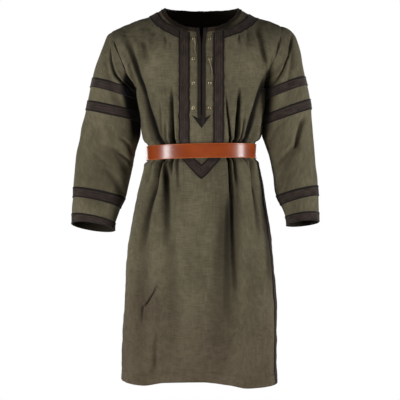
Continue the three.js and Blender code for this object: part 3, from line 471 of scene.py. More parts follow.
def fold_depth(folds: Table, place: Array, down: Array, radius: Array, rim: Array) -> tuple[Array, Array]:
    """How deep the folds are at places round a body, and how dark the shade painted in them is.

    Args:
        folds: each fold's two ends, as an angle and a height, with half-width, depth and tone.
        place: the angle of each point, in degrees.
        down: its height below the origin.
        radius: its distance from the middle line.
        rim: how high the rims beside a fold stand, as a share of its depth.

    Returns:
        The depths: each fold's trough, faded in and out over a share of its length, and added up. Then
        the painted shade: the darkest of the folds' shades there.
    """
    reach = (-FOLD_FADE[0], 1 + FOLD_FADE[0])
    total = np.zeros(np.broadcast(place, down).shape)
    dark = total.copy()
    for place0, down0, place1, down1, width0, width1, depth0, depth1, tone in folds.rows:
        t = (down - down0) / (down1 - down0)
        turned = (place - mix(place0, place1, t) + 180) % 360 - 180
        held = np.clip(t, *reach)
        shown = faded(t, FOLD_FADE)
        across = turned * DEGREE * radius / mix(width0, width1, held)
        depth = mix(depth0, depth1, held)
        total += depth * shown * trough(across, rim)
        dark = np.maximum(dark, tone * shown * shade_bell(across, depth))
    return total, dark


def crease_depth(creases: Table, x: Array, down: Array, rim: Array) -> tuple[Array, Array]:
    """How deep the creases are at places in front view, added up, and how dark the shade painted in the
    darkest is.

    A crease is a trough along the line between its two ends, which bows by 4bt(1 - t) to one side and
    fades in and out.
    """
    total = np.zeros(np.broadcast(x, down).shape)
    dark = total.copy()
    for x0, down0, x1, down1, bow, width0, width1, depth0, depth1, tone in creases.rows:
        length = math.hypot(x1 - x0, down1 - down0)
        way = ((x1 - x0) / length, (down1 - down0) / length)
        t = ((x - x0) * way[0] + (down - down0) * way[1]) / length
        held = np.clip(t, 0, 1)
        beside = (x - x0) * way[1] - (down - down0) * way[0] - 4 * bow * held * (1 - held)
        shown = faded(t, CREASE_FADE)
        across = beside / mix(width0, width1, held)
        depth = mix(depth0, depth1, held)
        total += depth * shown * trough(across, rim)
        dark = np.maximum(dark, tone * shown * shade_bell(across, depth))
    return total, dark


def crumple(u: Array, v: Array, seed: int, longest: float, shortest: float, height: float) -> Array:
    """Gentle unevenness: sine waves of many directions, lengths and phases, added up.

    Args:
        u, v: the place on the cloth, across and along.
        seed: which set of waves.
        longest, shortest: the range of the wavelengths.
        height: the usual height of the sum.

    Returns:
        The heights. A wave is as high as it is long, so the short ones only roughen the long ones.
    """
    rng = np.random.default_rng(seed)
    total = np.zeros(np.broadcast(u, v).shape)
    power = 0.0
    for _ in range(WAVE_COUNT):
        turn = rng.normal(0, WAVE_SPREAD)
        wave = shortest * (longest / shortest) ** rng.random()
        phase = rng.random() * 2 * math.pi
        reach = (u * math.cos(turn) + v * math.sin(turn)) / wave
        total += wave * np.sin(2 * math.pi * reach + phase)
        power += wave**2 / 2
    return height * total / math.sqrt(power)


def cubic(grid: Array, row: Array, column: Array, closed: bool) -> Array:
    """Values of a grid at fractional places, on Catmull-Rom curves through four rows and four columns.

    Args:
        grid: rows by columns by channels.
        row, column: the places, as fractional indices.
        closed: whether the columns run round and meet.

    Returns:
        The values there.
    """
    rows, columns = grid.shape[:2]
    row = np.clip(row, 0, rows - 1)
    i = np.minimum(np.floor(row), rows - 2).astype(int)
    if not closed:
        column = np.clip(column, 0, columns - 1)
    j = np.floor(column).astype(int)
    if not closed:
        j = np.minimum(j, columns - 2)

    def weights(t: Array) -> tuple[Array, ...]:
        """The shares of the four points round a place."""
        return (
            (-t + 2 * t**2 - t**3) / 2,
            (2 - 5 * t**2 + 3 * t**3) / 2,
            (t + 4 * t**2 - 3 * t**3) / 2,
            (t**3 - t**2) / 2,
        )

    total = np.zeros(row.shape + grid.shape[2:])
    for a, by_row in enumerate(weights(row - i)):
        near_row = np.clip(i + a - 1, 0, rows - 1)
        for b, by_column in enumerate(weights(column - j)):
            near_column = j + b - 1
            near_column = near_column % columns if closed else np.clip(near_column, 0, columns - 1)
            total += (by_row * by_column)[..., None] * grid[near_row, near_column]
    return total


def grid_normals(points: Array, closed: bool = False) -> Array:
    """Outward normals of a grid whose rows run down and whose columns run left to right from outside."""
    down = np.gradient(points, axis=0)
    if closed:
        across = np.roll(points, -1, axis=1) - np.roll(points, 1, axis=1)
    else:
        across = np.gradient(points, axis=1)
    return unit(np.cross(down, across))


def along_line(points: Array) -> Array:
    """The distance of each point of a line from its first."""
    steps = np.linalg.norm(np.diff(points, axis=0), axis=-1)
    return np.concatenate([[0.0], np.cumsum(steps)])


def looped(points: Array, axis: int = 0) -> Array:
    """Points that run round and meet, with the first given again at the end."""
    return np.concatenate([points, np.take(points, [0], axis=axis)], axis=axis)


@dataclass
class Patch:
    """A grid of places on a cloth: its points, its outward normals and how dark a shade is painted at each.
    """

    points: Array
    normals: Array
    painted_shade: Array
    closed: bool = False

    def moved(self, off: Any) -> Array:
        """The points moved out along the normals."""
        return self.points + self.normals * np.asarray(off, float)[..., None]

    def meeting(self) -> Array:
        """The points, with the first column given again at the end where the patch is closed."""
        return looped(self.points, 1) if self.closed else self.points

    def measured(self, level_row: int = 0) -> Array:
        """Distances over the cloth in metres: across from the middle column, and down from one row."""
        points = self.meeting()
        across = np.linalg.norm(np.diff(points, axis=1), axis=-1)
        down = np.linalg.norm(np.diff(points, axis=0), axis=-1)
        u = np.pad(np.cumsum(across, axis=1), ((0, 0), (1, 0)))
        v = np.pad(np.cumsum(down, axis=0), ((1, 0), (0, 0)))
        middle = points.shape[1] // 2
        return np.stack([u - u[:, middle : middle + 1], v - v[level_row]], axis=-1) * MM

    def area(self) -> float:
        """The cloth's area in square metres: the sum of its cells' half diagonal products."""
        points = self.meeting()
        one = points[1:, 1:] - points[:-1, :-1]
        other = points[1:, :-1] - points[:-1, 1:]
        return float(np.linalg.norm(np.cross(one, other), axis=-1).sum() / 2 * MM * MM)


def mesh_piece(
    name: str, points: Array, faces: list, uv: Array, flat_faces: Array | None = None
) -> Piece:
    """A mesh object at the origin, with its points given in millimetres.

    Args:
        name: the piece's name.
        points: its vertices.
        faces: its faces, as lists of vertex numbers.
        uv: a pair of metres for each corner of each face.
        flat_faces: which faces are shaded flat.

    Returns:
        The object.
    """
    mesh = bpy.data.meshes.new(name)
    mesh.from_pydata(points * MM, [], faces)
    layer = mesh.uv_layers.new(name="UVMap")
    layer.data.foreach_set("uv", np.asarray(uv, np.float32).ravel())
    shading = np.ones(len(faces), bool)
    if flat_faces is not None:
        shading &= ~flat_faces
    mesh.polygons.foreach_set("use_smooth", shading)
    mesh.update()
    made = bpy.data.objects.new(name, mesh)
    bpy.context.scene.collection.objects.link(made)
    return made


def shell(
    name: str,
    patch: Patch,
    outer: Any,
    inner: Any,
    uv: Array | None = None,
    keep: Array | None = None,
) -> Piece:
    """A closed wall over the kept cells of a patch, between two distances along its normals.

    Args:
        name: the piece's name.
        patch: the places.
        outer, inner: the distances of the two faces, one number or one for each place.
        uv: metres across and along for each place, with one column more where the patch is closed.
        keep: which cells are there. The rest are openings, and get a rim.

    Returns:
        The object, with an attribute that says how dark a shade is painted at each vertex.
    """
    rows, columns = patch.points.shape[:2]
    cells = columns if patch.closed else columns - 1
    uv = patch.measured() if uv is None else uv
    kept = np.ones((rows - 1, cells), bool) if keep is None else keep
    points = np.concatenate([patch.moved(outer).reshape(-1, 3), patch.moved(inner).reshape(-1, 3)])

    def corner(layer: int, i: Array, j: Array) -> tuple[Array, Array]:
        """A corner's vertex number, and its number in the list of metres."""
        vertex = layer * rows * columns + i * columns + j % columns
        return vertex, i * uv.shape[1] + j

    def quads(*corners: tuple[Array, Array]) -> tuple[Array, Array]:
        """Faces with four corners each."""
        return np.stack([c[0] for c in corners], -1), np.stack([c[1] for c in corners], -1)

    i, j = np.nonzero(kept)
    made = [
        quads(corner(0, i, j), corner(0, i + 1, j), corner(0, i + 1, j + 1), corner(0, i, j + 1)),
        quads(corner(1, i, j), corner(1, i, j + 1), corner(1, i + 1, j + 1), corner(1, i + 1, j)),
    ]
    walls = 2 * len(i)
    padded = np.pad(kept, ((1, 1), (0, 0)))
    padded = np.pad(padded, ((0, 0), (1, 1)), mode="wrap" if patch.closed else "constant")
    for (di, dj), (a, b) in {
        (-1, 0): ((0, 1), (0, 0)),
        (1, 0): ((1, 0), (1, 1)),
        (0, -1): ((0, 0), (1, 0)),
        (0, 1): ((1, 1), (0, 1)),
    }.items():
        beside = padded[1 + di : rows + di, 1 + dj : cells + 1 + dj]
        i, j = np.nonzero(kept & ~beside)
        first = (i + a[0], j + a[1])
        last = (i + b[0], j + b[1])
        made.append(quads(corner(0, *first), corner(1, *first), corner(1, *last), corner(0, *last)))
    faces = np.concatenate([m[0] for m in made])
    places = np.concatenate([m[1] for m in made])
    used, renumbered = np.unique(faces, return_inverse=True)
    flat_faces = np.arange(len(faces)) >= walls
    uv = uv.reshape(-1, 2)[places]
    piece = mesh_piece(name, points[used], renumbered.reshape(-1, 4).tolist(), uv, flat_faces)
    # Painted shade: the inner face is painted at least this dark, for the shade inside the tunic
    inner_shade_paint = np.maximum(patch.painted_shade, INNER_SHADE_PAINT)
    painted_shade = np.concatenate([patch.painted_shade.ravel(), inner_shade_paint.ravel()])[used]
    piece.data.attributes.new("painted_shade", "FLOAT", "POINT").data.foreach_set("value", painted_shade)
    return piece


def loft(name: str, rings: Array, uv: Array, ring: bool = False) -> Piece:
    """A closed body through rings of points, with a flat cap at either end.

    Args:
        name: the piece's name.
        rings: rings by points. From outside, the rings run down and each ring's points left to right.
        uv: metres for each place, with one more for the last point of each ring and, if it closes, ring.
        ring: whether the last ring joins the first, with no caps.

    Returns:
        The object.
    """
    count, sides = rings.shape[:2]
    i, j = np.mgrid[0 : count if ring else count - 1, 0:sides].reshape(2, -1)

    def vertex(i: Array, j: Array) -> Array:
        """A point's number."""
        return (i % count) * sides + j % sides

    faces = np.stack([vertex(i, j), vertex(i + 1, j), vertex(i + 1, j + 1), vertex(i, j + 1)], -1)
    places = np.stack([uv[i, j], uv[i + 1, j], uv[i + 1, j + 1], uv[i, j + 1]], 1).reshape(-1, 2)
    faces = faces.tolist()
    if not ring:
        faces.append(list(range(sides)))
        faces.append([(count - 1) * sides + k for k in range(sides - 1, -1, -1)])
        places = np.concatenate([places, uv[0, :sides], uv[-1, sides - 1 :: -1][:sides]])
    flat_faces = np.arange(len(faces)) >= len(i)
    return mesh_piece(name, rings.reshape(-1, 3), faces, places, flat_faces)


def tube_rings(line: Array, side: Array, radii: Any, sides: int) -> tuple[Array, Array]:
    """Rings round a line, and their metres round and along.

    Args:
        line: the middle line's points.
        side: a direction across the line at each of its points.
        radii: the radius at each point.
        sides: how many points a ring has.

    Returns:
        The rings, and for each place the metres along its ring and along the line.
    """
    tangent = unit(np.gradient(line, axis=0))
    side = unit(side - tangent * (side * tangent).sum(-1, keepdims=True))
    up = np.cross(tangent, side)
    turn = 2 * math.pi * np.arange(sides) / sides
    radii = np.broadcast_to(np.asarray(radii, float), len(line))
    out = np.cos(turn)[None, :, None] * side[:, None] - np.sin(turn)[None, :, None] * up[:, None]
    rings = line[:, None] + radii[:, None, None] * out
    around = np.arange(sides + 1) / sides * 2 * math.pi * float(radii.max()) * MM
    length = along_line(line) * MM
    return rings, np.stack(np.broadcast_arrays(around[None], length[:, None]), -1)


def operator(operation: str, swapped: bool = False) -> Callable[["Value", Any], "Value"]:
    """An operator of Value, which adds a Math node.

    Args:
        operation: the node's operation.
        swapped: whether the other operand comes first, as in 1 - mask.

    Returns:
        The operator's method.
    """

    def method(value: "Value", other: Any) -> "Value":
        """The node's result."""
        return value.reckon(operation, *((other, value) if swapped else (value, other)))

    return method


@dataclass(frozen=True)
class Value:
    """A shader socket that can be reckoned with: each operator adds the Math node that does it."""

    shader: "Shader"
    socket: Socket

    __add__ = operator("ADD")
    __radd__ = operator("ADD", True)
    __sub__ = operator("SUBTRACT")
    __rsub__ = operator("SUBTRACT", True)
    __mul__ = operator("MULTIPLY")
    __rmul__ = operator("MULTIPLY", True)

    def reckon(self, operation: str, *values: Any) -> "Value":
        """A Math node on these values."""
        node = self.shader.node("ShaderNodeMath", {"operation": operation}, dict(enumerate(values)))
        return Value(self.shader, node.outputs[0])

    def sine(self) -> "Value":
        """The sine of an angle in radians."""
        return self.reckon("SINE", self)

    def size(self) -> "Value":
        """The value without its sign."""
        return self.reckon("ABSOLUTE", self)

    def step(self, low: float, high: float) -> "Value":
        """A soft step from 0 at low to 1 at high, or down where low is the higher."""
        settings = {"interpolation_type": "SMOOTHSTEP"}
        sockets = {"Value": self, "From Min": low, "From Max": high}
        return Value(self.shader, self.shader.node("ShaderNodeMapRange", settings, sockets).outputs[0])


class Shader:
    """A material under construction: a Principled shader and the nodes that feed it."""

    def __init__(self, name: str) -> None:
        """Starts a material of that name."""
        self.material = bpy.data.materials.new(name)
        self.material.use_nodes = True
        self.tree = self.material.node_tree
        self.surface = self.tree.nodes["Principled BSDF"]

    def node(
        self, kind: str, settings: dict[str, Any] | None = None, sockets: dict[Any, Any] | None = None
    ) -> bpy.types.Node:
        """Adds a node.

        Args:
            kind: the node's type.
            settings: its own settings, which are set first.
            sockets: numbers, colours, sockets or values for its inputs, by name or number.

        Returns:
            The node.
        """
        made = self.tree.nodes.new(kind)
        for name, setting in (settings or {}).items():
            setattr(made, name, setting)
        for name, value in (sockets or {}).items():
            self.feed(made.inputs[name], value)
        return made

    def feed(self, socket: Socket, value: Any) -> None:
        """Links a value to an input, or sets a number on it.

        Args:
            socket: the input.
            value: a Value, an output socket, a number or a colour.
        """
        if isinstance(value, Value):
            value = value.socket
        if isinstance(value, Socket):
            self.tree.links.new(value, socket)
        else:
            socket.default_value = value

    def finish(self, **sockets: Any) -> Material:
        """Feeds the shader's own sockets, with _ for a space in their names, and gives the material."""
        for name, value in sockets.items():
            self.feed(self.surface.inputs[name.replace("_", " ")], value)
        return self.material

    def metres(self) -> tuple[Socket, Value, Value]:
        """The piece's own map of metres: the vector, and its across and along."""
        vector = self.node("ShaderNodeUVMap", {"uv_map": "UVMap"}).outputs[0]
        parts = self.node("ShaderNodeSeparateXYZ", sockets={0: vector})
        return vector, Value(self, parts.outputs[0]), Value(self, parts.outputs[1])

    def attribute(self, name: str) -> Value:
        """A number that the piece's vertices carry."""
        return Value(self, self.node("ShaderNodeAttribute", {"attribute_name": name}).outputs["Fac"])

    def noise(self, vector: Any, scale: tuple[float, float], detail: float = 3, shift: float = 0) -> Value:
        """Cloudy noise from 0 to 1.

        Args:
            vector: the map it is read from.
            scale: how many clouds to the metre across and along.
            detail: how many finer layers it has.
            shift: how far it is moved, so that two noises of one map differ.

        Returns:
            The noise.
        """
        sockets = {"Vector": vector, "Location": (shift, shift, shift), "Scale": (*scale, 1)}
        placed = self.node("ShaderNodeMapping", sockets=sockets)
        sockets = {"Vector": placed.outputs[0], "Scale": 1.0, "Detail": detail}
        return Value(self, self.node("ShaderNodeTexNoise", {"noise_dimensions": "2D"}, sockets).outputs[0])

    def blend(self, share: Any, first: Any, second: Any) -> Socket:
        """A colour between two."""
        first, second = (c + (1.0,) if isinstance(c, tuple) else c for c in (first, second))
        return self.node("ShaderNodeMix", {"data_type": "RGBA"}, {0: share, 6: first, 7: second}).outputs[2]

    def bump(self, height: Value, metres: float) -> Socket:
        """A normal that follows heights from 0 to 1, which stand for so many metres."""
        return self.node("ShaderNodeBump", sockets={"Distance": metres, "Height": height}).outputs[0]


@dataclass(frozen=True)
class Linen:
    """A slubby plain weave: fine threads, streaks both ways, browner low down, and shade in the folds."""

    name: str
    light: Colour
    dark: Colour
    half_shade: Colour
    shade: Colour
    earth: Colour = (0.82, 0.73, 0.76)
    earth_from: float = 0.42
    earth_to: float = 0.9
    thread: float = 0.0012
    relief: float = 0.00026

    def make(self) -> Material:
        """The material."""
        s = Shader(self.name)
        metres, across, along = s.metres()
        clouds = s.noise(metres, (9, 7), 5)
        mottle = s.noise(metres, (70, 55), 3, 11)
        weft = s.noise(metres, (38, 700), 3, 3)
        warp = s.noise(metres, (760, 30), 3, 7)
        slubs = s.noise(metres, (14, 240), 2, 17)
        knots = s.noise(metres, (230, 11), 2, 23)
        drifts = s.noise(metres, (3.4, 2.2), 2, 31)
        turns = 2 * math.pi / self.thread
        weave = (across * turns).sine() * (along * turns).sine()
        streaks = (weft - 0.5) * 1.0 + (warp - 0.5) * 0.7 + (slubs - 0.5) * 0.4 + (knots - 0.5) * 0.25
        patches = (clouds - 0.5) * 1.0 + (mottle - 0.5) * 0.6
        tone = (streaks + patches + weave * 0.16 + 0.5).step(-0.1, 1.1)
        brown = (along.step(self.earth_from, self.earth_to) + (drifts - 0.5) * 1.1).step(0, 1)
        earthy = [tuple(c * e for c, e in zip(colour, self.earth)) for colour in (self.dark, self.light)]
        cloth = s.blend(brown, s.blend(tone, self.dark, self.light), s.blend(tone, *earthy))
        # Painted shade: the cloth is mixed towards a brown half shade and then towards near black where its
        # vertices carry painted shade
        painted_shade = s.attribute("painted_shade")
        cloth = s.blend(painted_shade.step(0, 0.6) * 0.8, cloth, self.half_shade)
        height = weave * 0.35 + weft * 1.1 + warp * 1.0 + slubs * 0.7 + knots * 0.6
        return s.finish(
            Base_Color=s.blend(painted_shade.step(0.25, 0.85), cloth, self.shade),
            Roughness=0.86 + (clouds - 0.5) * 0.12,
            Normal=s.bump(height, self.relief),
            Specular_IOR_Level=0.12,
            Sheen_Weight=0.02,
            Sheen_Roughness=0.5,
        )


@dataclass(frozen=True)
class Braid:
    """A flat woven braid: dark corded edges, and plaited strands that run along the middle."""

    name: str
    middle: Colour
    strand: Colour
    edge: Colour
    shade: Colour = (0.003, 0.002, 0.002)
    width: float = 0.03
    cord: float = 0.0036
    cord_fade: float = 0.0012
    plait: float = 0.0042
    pitch: float = 0.0052
    relief: float = 0.00035

    def make(self) -> Material:
        """The material."""
        s = Shader(self.name)
        metres, across, along = s.metres()
        from_middle = (across - self.width / 2).size()
        rim = self.width / 2 - self.cord
        inside = from_middle.step(rim, rim - self.cord_fade)
        plait = ((along + from_middle * 0.9) * (2 * math.pi / self.plait)).sine()
        strands = (across * (2 * math.pi / self.pitch)).sine()
        wear = s.noise(metres, (160, 40), 3)
        fuzz = s.noise(metres, (700, 500), 2, 5)
        tone = (strands * 0.3 + plait * 0.24 + (wear - 0.5) * 1.9 + 0.45).step(0, 1)
        colour = s.blend(inside, self.edge, s.blend(tone, self.middle, self.strand))
        height = plait * 0.5 + strands * 0.35 * inside + fuzz * 0.9
        # Painted shade from the cloth's folds darkens the braid towards near black
        return s.finish(
            Base_Color=s.blend(s.attribute("painted_shade").step(0, 0.9), colour, self.shade),
            Roughness=0.84,
            Normal=s.bump(height, self.relief),
            Specular_IOR_Level=0.2,
            Sheen_Weight=0.05,
            Sheen_Roughness=0.5,
        )


@dataclass(frozen=True)
class Leather:
    """Smooth dyed leather with a soft gloss, paler along its edges."""

    name: str
    base: Colour
    deep: Colour
    edge: Colour
    height: float = 0.04
    rim_from: float = 0.003
    rim_to: float = 0.0006
    relief: float = 0.00005

    def make(self) -> Material:
        """The material."""
        s = Shader(self.name)
        metres, across, _ = s.metres()
        clouds = s.noise(metres, (22, 14), 4)
        pores = s.noise(metres, (900, 900), 2, 4)
        scuffs = s.noise(metres, (240, 24), 3, 9)
        half = self.height / 2
        rim = (across - half).size().step(half - self.rim_from, half - self.rim_to)
        body = s.blend(clouds.step(0.25, 0.75), self.deep, self.base)
        return s.finish(
            Base_Color=s.blend(rim * 0.8, body, self.edge),
            Roughness=0.3 + (clouds - 0.5) * 0.1 + (scuffs - 0.5) * 0.06,
            Normal=s.bump(pores + scuffs * 0.3, self.relief),
            Specular_IOR_Level=0.5,
            Coat_Weight=0.25,
            Coat_Roughness=0.18,
        )


@dataclass(frozen=True)
class Brass:
    """Aged brass, bright where it is rubbed."""

    name: str
    bright: Colour
    dull: Colour
    relief: float = 0.00004

    def make(self) -> Material:
        """The material."""
        s = Shader(self.name)
        spots = s.noise(s.metres()[0], (400, 400), 4)
        worn = spots.step(0.35, 0.65)
        return s.finish(
            Base_Color=s.blend(worn, self.dull, self.bright),
            Metallic=1.0,
            Roughness=0.42 - worn * 0.14,
            Normal=s.bump(spots, self.relief),
        )


@dataclass(frozen=True)
class Yarn:
    """Twisted yarn, for laces and thread."""

    name: str
    light: Colour
    dark: Colour
    lay: float = 0.0016
    relief: float = 0.00015

    def make(self) -> Material:
        """The material."""
        s = Shader(self.name)
        metres, across, along = s.metres()
        twist = ((along + across * 0.8) * (2 * math.pi / self.lay)).sine()
        fuzz = s.noise(metres, (1500, 600), 2)
        tone = (twist * 0.35 + (fuzz - 0.5) + 0.5).step(0, 1)
        return s.finish(
            Base_Color=s.blend(tone, self.dark, self.light),
            Roughness=0.82,
            Normal=s.bump(twist, self.relief),
            Specular_IOR_Level=0.3,
        )


class Finish:
    """A material, with the slot that it stands for."""

    def __init__(self, slot: Slot, recipe: Linen | Braid | Leather | Brass | Yarn) -> None:
        """Makes the material."""
        self.slot = slot
        self.material = recipe.make()


class Finishes:
    """Every finish of the tunic, made once."""

    def __init__(self) -> None:
        """Makes them."""
        olive = {"light": (0.146, 0.128, 0.080), "dark": (0.070, 0.060, 0.036)}
        olive |= {"half_shade": (0.042, 0.032, 0.019), "shade": (0.003, 0.002, 0.0008)}
        brown = {"light": (0.046, 0.030, 0.021), "dark": (0.020, 0.013, 0.009)}
        brown |= {"half_shade": (0.024, 0.016, 0.011), "shade": (0.007, 0.0045, 0.003)}
        braid = Braid("dark_braid", (0.017, 0.011, 0.009), (0.042, 0.029, 0.022), (0.007, 0.005, 0.004))
        tape = {"middle": (0.014, 0.009, 0.006), "strand": (0.024, 0.016, 0.011)}
        tape |= {"edge": (0.007, 0.005, 0.0035), "width": 0.01, "cord": 0.0014}
        tan = Leather("tan_leather", (0.275, 0.047, 0.006), (0.20, 0.031, 0.0045), (0.40, 0.105, 0.026))
        self.linen = Finish(Slot.CLOTH, Linen("olive_linen", **olive))
        self.edging = Finish(Slot.CLOTH, Linen("brown_edging", **brown))
        self.braid = Finish(Slot.BRAID, braid)
        self.tape = Finish(Slot.BRAID, Braid("slit_tape", **tape))
        self.leather = Finish(Slot.LEATHER, tan)
        self.brass = Finish(Slot.METAL, Brass("aged_brass", (0.92, 0.80, 0.54), (0.46, 0.36, 0.20)))
        self.cord = Finish(Slot.CORD, Yarn("pale_cord", (0.30, 0.25, 0.165), (0.16, 0.13, 0.085)))
        dark_yarn = Yarn("dark_thread", (0.030, 0.022, 0.019), (0.012, 0.009, 0.008), 0.0008)
        olive_yarn = Yarn("olive_thread", (0.25, 0.22, 0.15), (0.15, 0.13, 0.09), 0.0008)
        self.dark_thread = Finish(Slot.BRAID, dark_yarn)
        self.olive_thread = Finish(Slot.CLOTH, olive_yarn)


def publish(piece: Piece, finish: Finish, *nodes: str) -> None:
    """Dresses a piece, puts it on the frame and reports it.

    Args:
        piece: the finished piece.
        finish: its material and slot.
        nodes: the frame's nodes that it stands for.
    """
    piece.data.materials.append(finish.material)
    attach(piece, "root")
    if nodes:
        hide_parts(*nodes)
    LOG.info("%s: %d vertices", piece.name, len(piece.data.vertices))


@dataclass(frozen=True)
class Yoke:
    """One side of the yoke: the shoulder seam's outer end, and the armpit."""

    sign: int
    shoulder: float
    shoulder_down: float
    armpit: float


LEFT = Yoke(-1, 252, 68, 188)
RIGHT = Yoke(1, 221, 50, 184)


@dataclass(frozen=True)
class Oval:
    """Half of a rounded oval that hangs from the shoulder line, in front view."""

    left: float
    right: float
    drop: float
    back_drop: float
    power: float

    def half(self, x: Array) -> Array:
        """Its half-width on the side where x lies."""
        return np.where(x < 0, self.left, self.right)

    def down(self, x: Array, face: Face) -> Array:
        """Its height below the origin over x: drop · (1 - |x / half|^power)^(1 / power)."""
        drop = self.back_drop if face is Face.BACK else self.drop
        share = np.clip(np.abs(x) / self.half(x), 0, 1)
        return drop * (1 - share**self.power) ** (1 / self.power)

    def point(self, turn: Array, face: Face) -> tuple[Array, Array]:
        """Its point at a turn, from 0 at the viewer's left to pi at the right."""
        drop = self.back_drop if face is Face.BACK else self.drop
        cos = np.sign(np.cos(turn)) * np.abs(np.cos(turn)) ** (2 / self.power)
        x = -cos * np.where(cos > 0, self.left, self.right)
        return x, drop * np.clip(np.sin(turn), 0, 1) ** (2 / self.power)


NECK = Oval(101, 101, 66, 0, 2)
NECK_EDGING = Oval(113, 113, 78, 11, 2)
BRAID_INNER = Oval(124, 136, 82, 17, 1.9)
BRAID_OUTER = Oval(151, 168, 104, 47, 1.9)


@dataclass(frozen=True)
class Body:
    """The smooth form of the tunic's body, as the frame has it."""

    armpit: float = 226
    hem: float = 1034
    belt_down: float = 401
    belt_droop: float = 3.2
    belt_sag: float = 2
    belt_reach: float = 70
    neck: float = 101
    front_rise: float = 6
    back_rise: float = 28
    ridge_blend: float = 40
    slope: float = 0.386
    dip: float = 6.6
    dip_past: float = 44
    dip_width: float = 30
    front_armhole: float = 70
    back_armhole: float = 66
    bulge: float = 5
    spread: float = 5
    profile: float = 2.2
    power: float = 2.25
    first: float = 0.0004
    seam_lap: float = 0.8
    seam_reach: float = 0.03
    even_from: float = 0.75
    even_power: float = 1.5

    def belt_shift(self, angle: Array) -> Array:
        """How much lower than its middle height the belt lies: it sags by sin², less a tilt by sin."""
        sin = np.sin(angle * DEGREE)
        return self.belt_sag * sin * sin - self.belt_droop * sin

    def section(self, angle: Array, down: Array) -> tuple[Array, Array]:
        """Where a level section lies at an angle: a rounded oval with four quarter sizes.

        The reach is (|sin|^p + |cos|^p)^(-1/p), times the quarter's width and depth.
        """
        sin = np.sin(angle * DEGREE)
        cos = np.cos(angle * DEGREE)
        reach = (np.abs(sin) ** self.power + np.abs(cos) ** self.power) ** (-1 / self.power)
        width = np.where(sin < 0, SECTIONS.at("left", down), SECTIONS.at("right", down))
        depth = np.where(cos > 0, SECTIONS.at("front", down), SECTIONS.at("back", down))
        return reach * sin * width, -reach * cos * depth

    def side(self, name: str, across: Array) -> Array:
        """One size of the yoke on the side where each place lies."""
        return np.where(across < 0, getattr(LEFT, name), getattr(RIGHT, name))

    def ridge(self, x: Array, face: Face) -> Array:
        """Height of the shoulder line: a slope plus a cube and a bell, and an arch over the neck."""
        past = np.abs(x) - self.neck
        length = self.side("shoulder", x) - self.neck
        extra = self.side("shoulder_down", x) - self.slope * length
        rise = self.back_rise if face is Face.BACK else self.front_rise
        over = -rise * (1 - (x / self.neck) ** 2)
        sloping = self.slope * past + extra * np.clip(past / length, 0, None) ** 3
        sloping += self.dip * np.exp(-(((past - self.dip_past) / self.dip_width) ** 2))
        return mix(over, sloping, smooth(-self.ridge_blend, 0, past))

    def skirt(self, face: Face, across: Array, level: Array) -> tuple[Array, Array, Array]:
        """Points, angles and heights below the armpits: a section, lowered by the hem's wave."""
        back = face is Face.BACK
        run = np.maximum(level, 1) - 1
        down = self.armpit + run * (self.hem - self.armpit)
        angle = (180 - 90 * across if back else 90 * across) - TWIST.at("degrees", down)
        wave = HEM_DROP.at("drop", (angle + 180) % 360 - 180)
        near = np.exp(-(((down - self.belt_down) / self.belt_reach) ** 2))
        shift = wave * run**3 + self.belt_shift(angle) * near
        x, y = self.section(angle, down)
        toward = 1 if back else -1
        return np.stack([x, y + toward * GAP / 2, -down - shift], -1), angle, down

    def yoke(self, face: Face, across: Array, level: Array) -> tuple[Array, Array, Array]:
        """Points, angles and heights above the armpits.

        The height rises with (1 - cos) / 2, the depth falls as a rounded profile, and the width goes
        over from the armpit section to the straight shoulder. At the shoulder seam the two panels meet.
        """
        back = face is Face.BACK
        toward = 1 if back else -1
        share = np.abs(across)
        turn = math.pi * (1 - np.clip(level, self.first, 1))
        rise = (1 - np.cos(turn)) / 2
        x0, y0 = self.section(90 * share, np.full(share.shape, self.armpit, float))
        sine = x0 / SECTIONS.column("right")[0]
        cosine = -y0 / SECTIONS.column("front")[0]
        even = smooth(0, self.even_from, 1 - level) ** self.even_power
        bow = np.clip(np.sin(turn), 0, 1) ** (1 + self.spread * np.maximum(0, 1 - share))
        edge = mix(self.side("armpit", across), self.side("shoulder", across), rise) + self.bulge * bow
        top = self.ridge(self.side("shoulder", across) * across, face)
        down = mix(self.armpit, top, rise)
        depth = SECTIONS.column("back" if back else "front")[0]
        middle = depth * (1 - rise**self.profile) ** (1 / self.profile)
        rim = (self.back_armhole if back else self.front_armhole) * bow
        crown = mix(cosine, 1 - share**self.profile, even)
        x = np.sign(across) * edge * mix(sine, share, even)
        lap = self.seam_lap * smooth(self.seam_reach, 0, level)
        y = toward * (mix(rim, middle, crown) + GAP / 2 - lap)
        return np.stack([x, y, -down], -1), 180 - 90 * across if back else 90 * across, down

    def form(self, face: Face, across: Array, level: Array) -> tuple[Array, Array, Array]:
        """Points, angles and heights of a panel.

        Args:
            face: the front or the back panel.
            across: from -1 at the viewer's left edge to 1 at the right one.
            level: from 0 at the shoulder line through 1 at the armpits to 2 at the hem.

        Returns:
            The points, the angles that the folds are placed by, and the heights below the origin.
        """
        across, level = np.broadcast_arrays(np.asarray(across, float), np.asarray(level, float))
        low = self.skirt(face, across, level)
        high = self.yoke(face, across, level)
        below = level >= 1
        points = np.where(below[..., None], low[0], high[0])
        return points, np.where(below, low[1], high[1]), np.where(below, low[2], high[2])

    def level_at(self, face: Face, across: Array, down: Array) -> Array:
        """The level at which a place across lies at a height, above the armpits by undoing the yoke."""
        top = self.ridge(self.side("shoulder", across) * across, face)
        rise = np.clip((self.armpit - down) / (self.armpit - top), 0, 1)
        above = np.maximum(1 - np.arccos(1 - 2 * rise) / math.pi, self.first)
        return np.where(down >= self.armpit, 1 + (down - self.armpit) / (self.hem - self.armpit), above)

    def place(self, face: Face, x: Array, down: Array) -> tuple[Array, Array]:
        """Across and level of places given in front view, by halving the width."""
        x, down = np.broadcast_arrays(np.asarray(x, float), np.asarray(down, float))

        def past(across: Array) -> Array:
            """Whether a place across lies further right than x."""
            return self.form(face, across, self.level_at(face, across, down))[0][..., 0] > x

        across = halved(past, -1, 1, x.shape)
        return across, self.level_at(face, across, down)


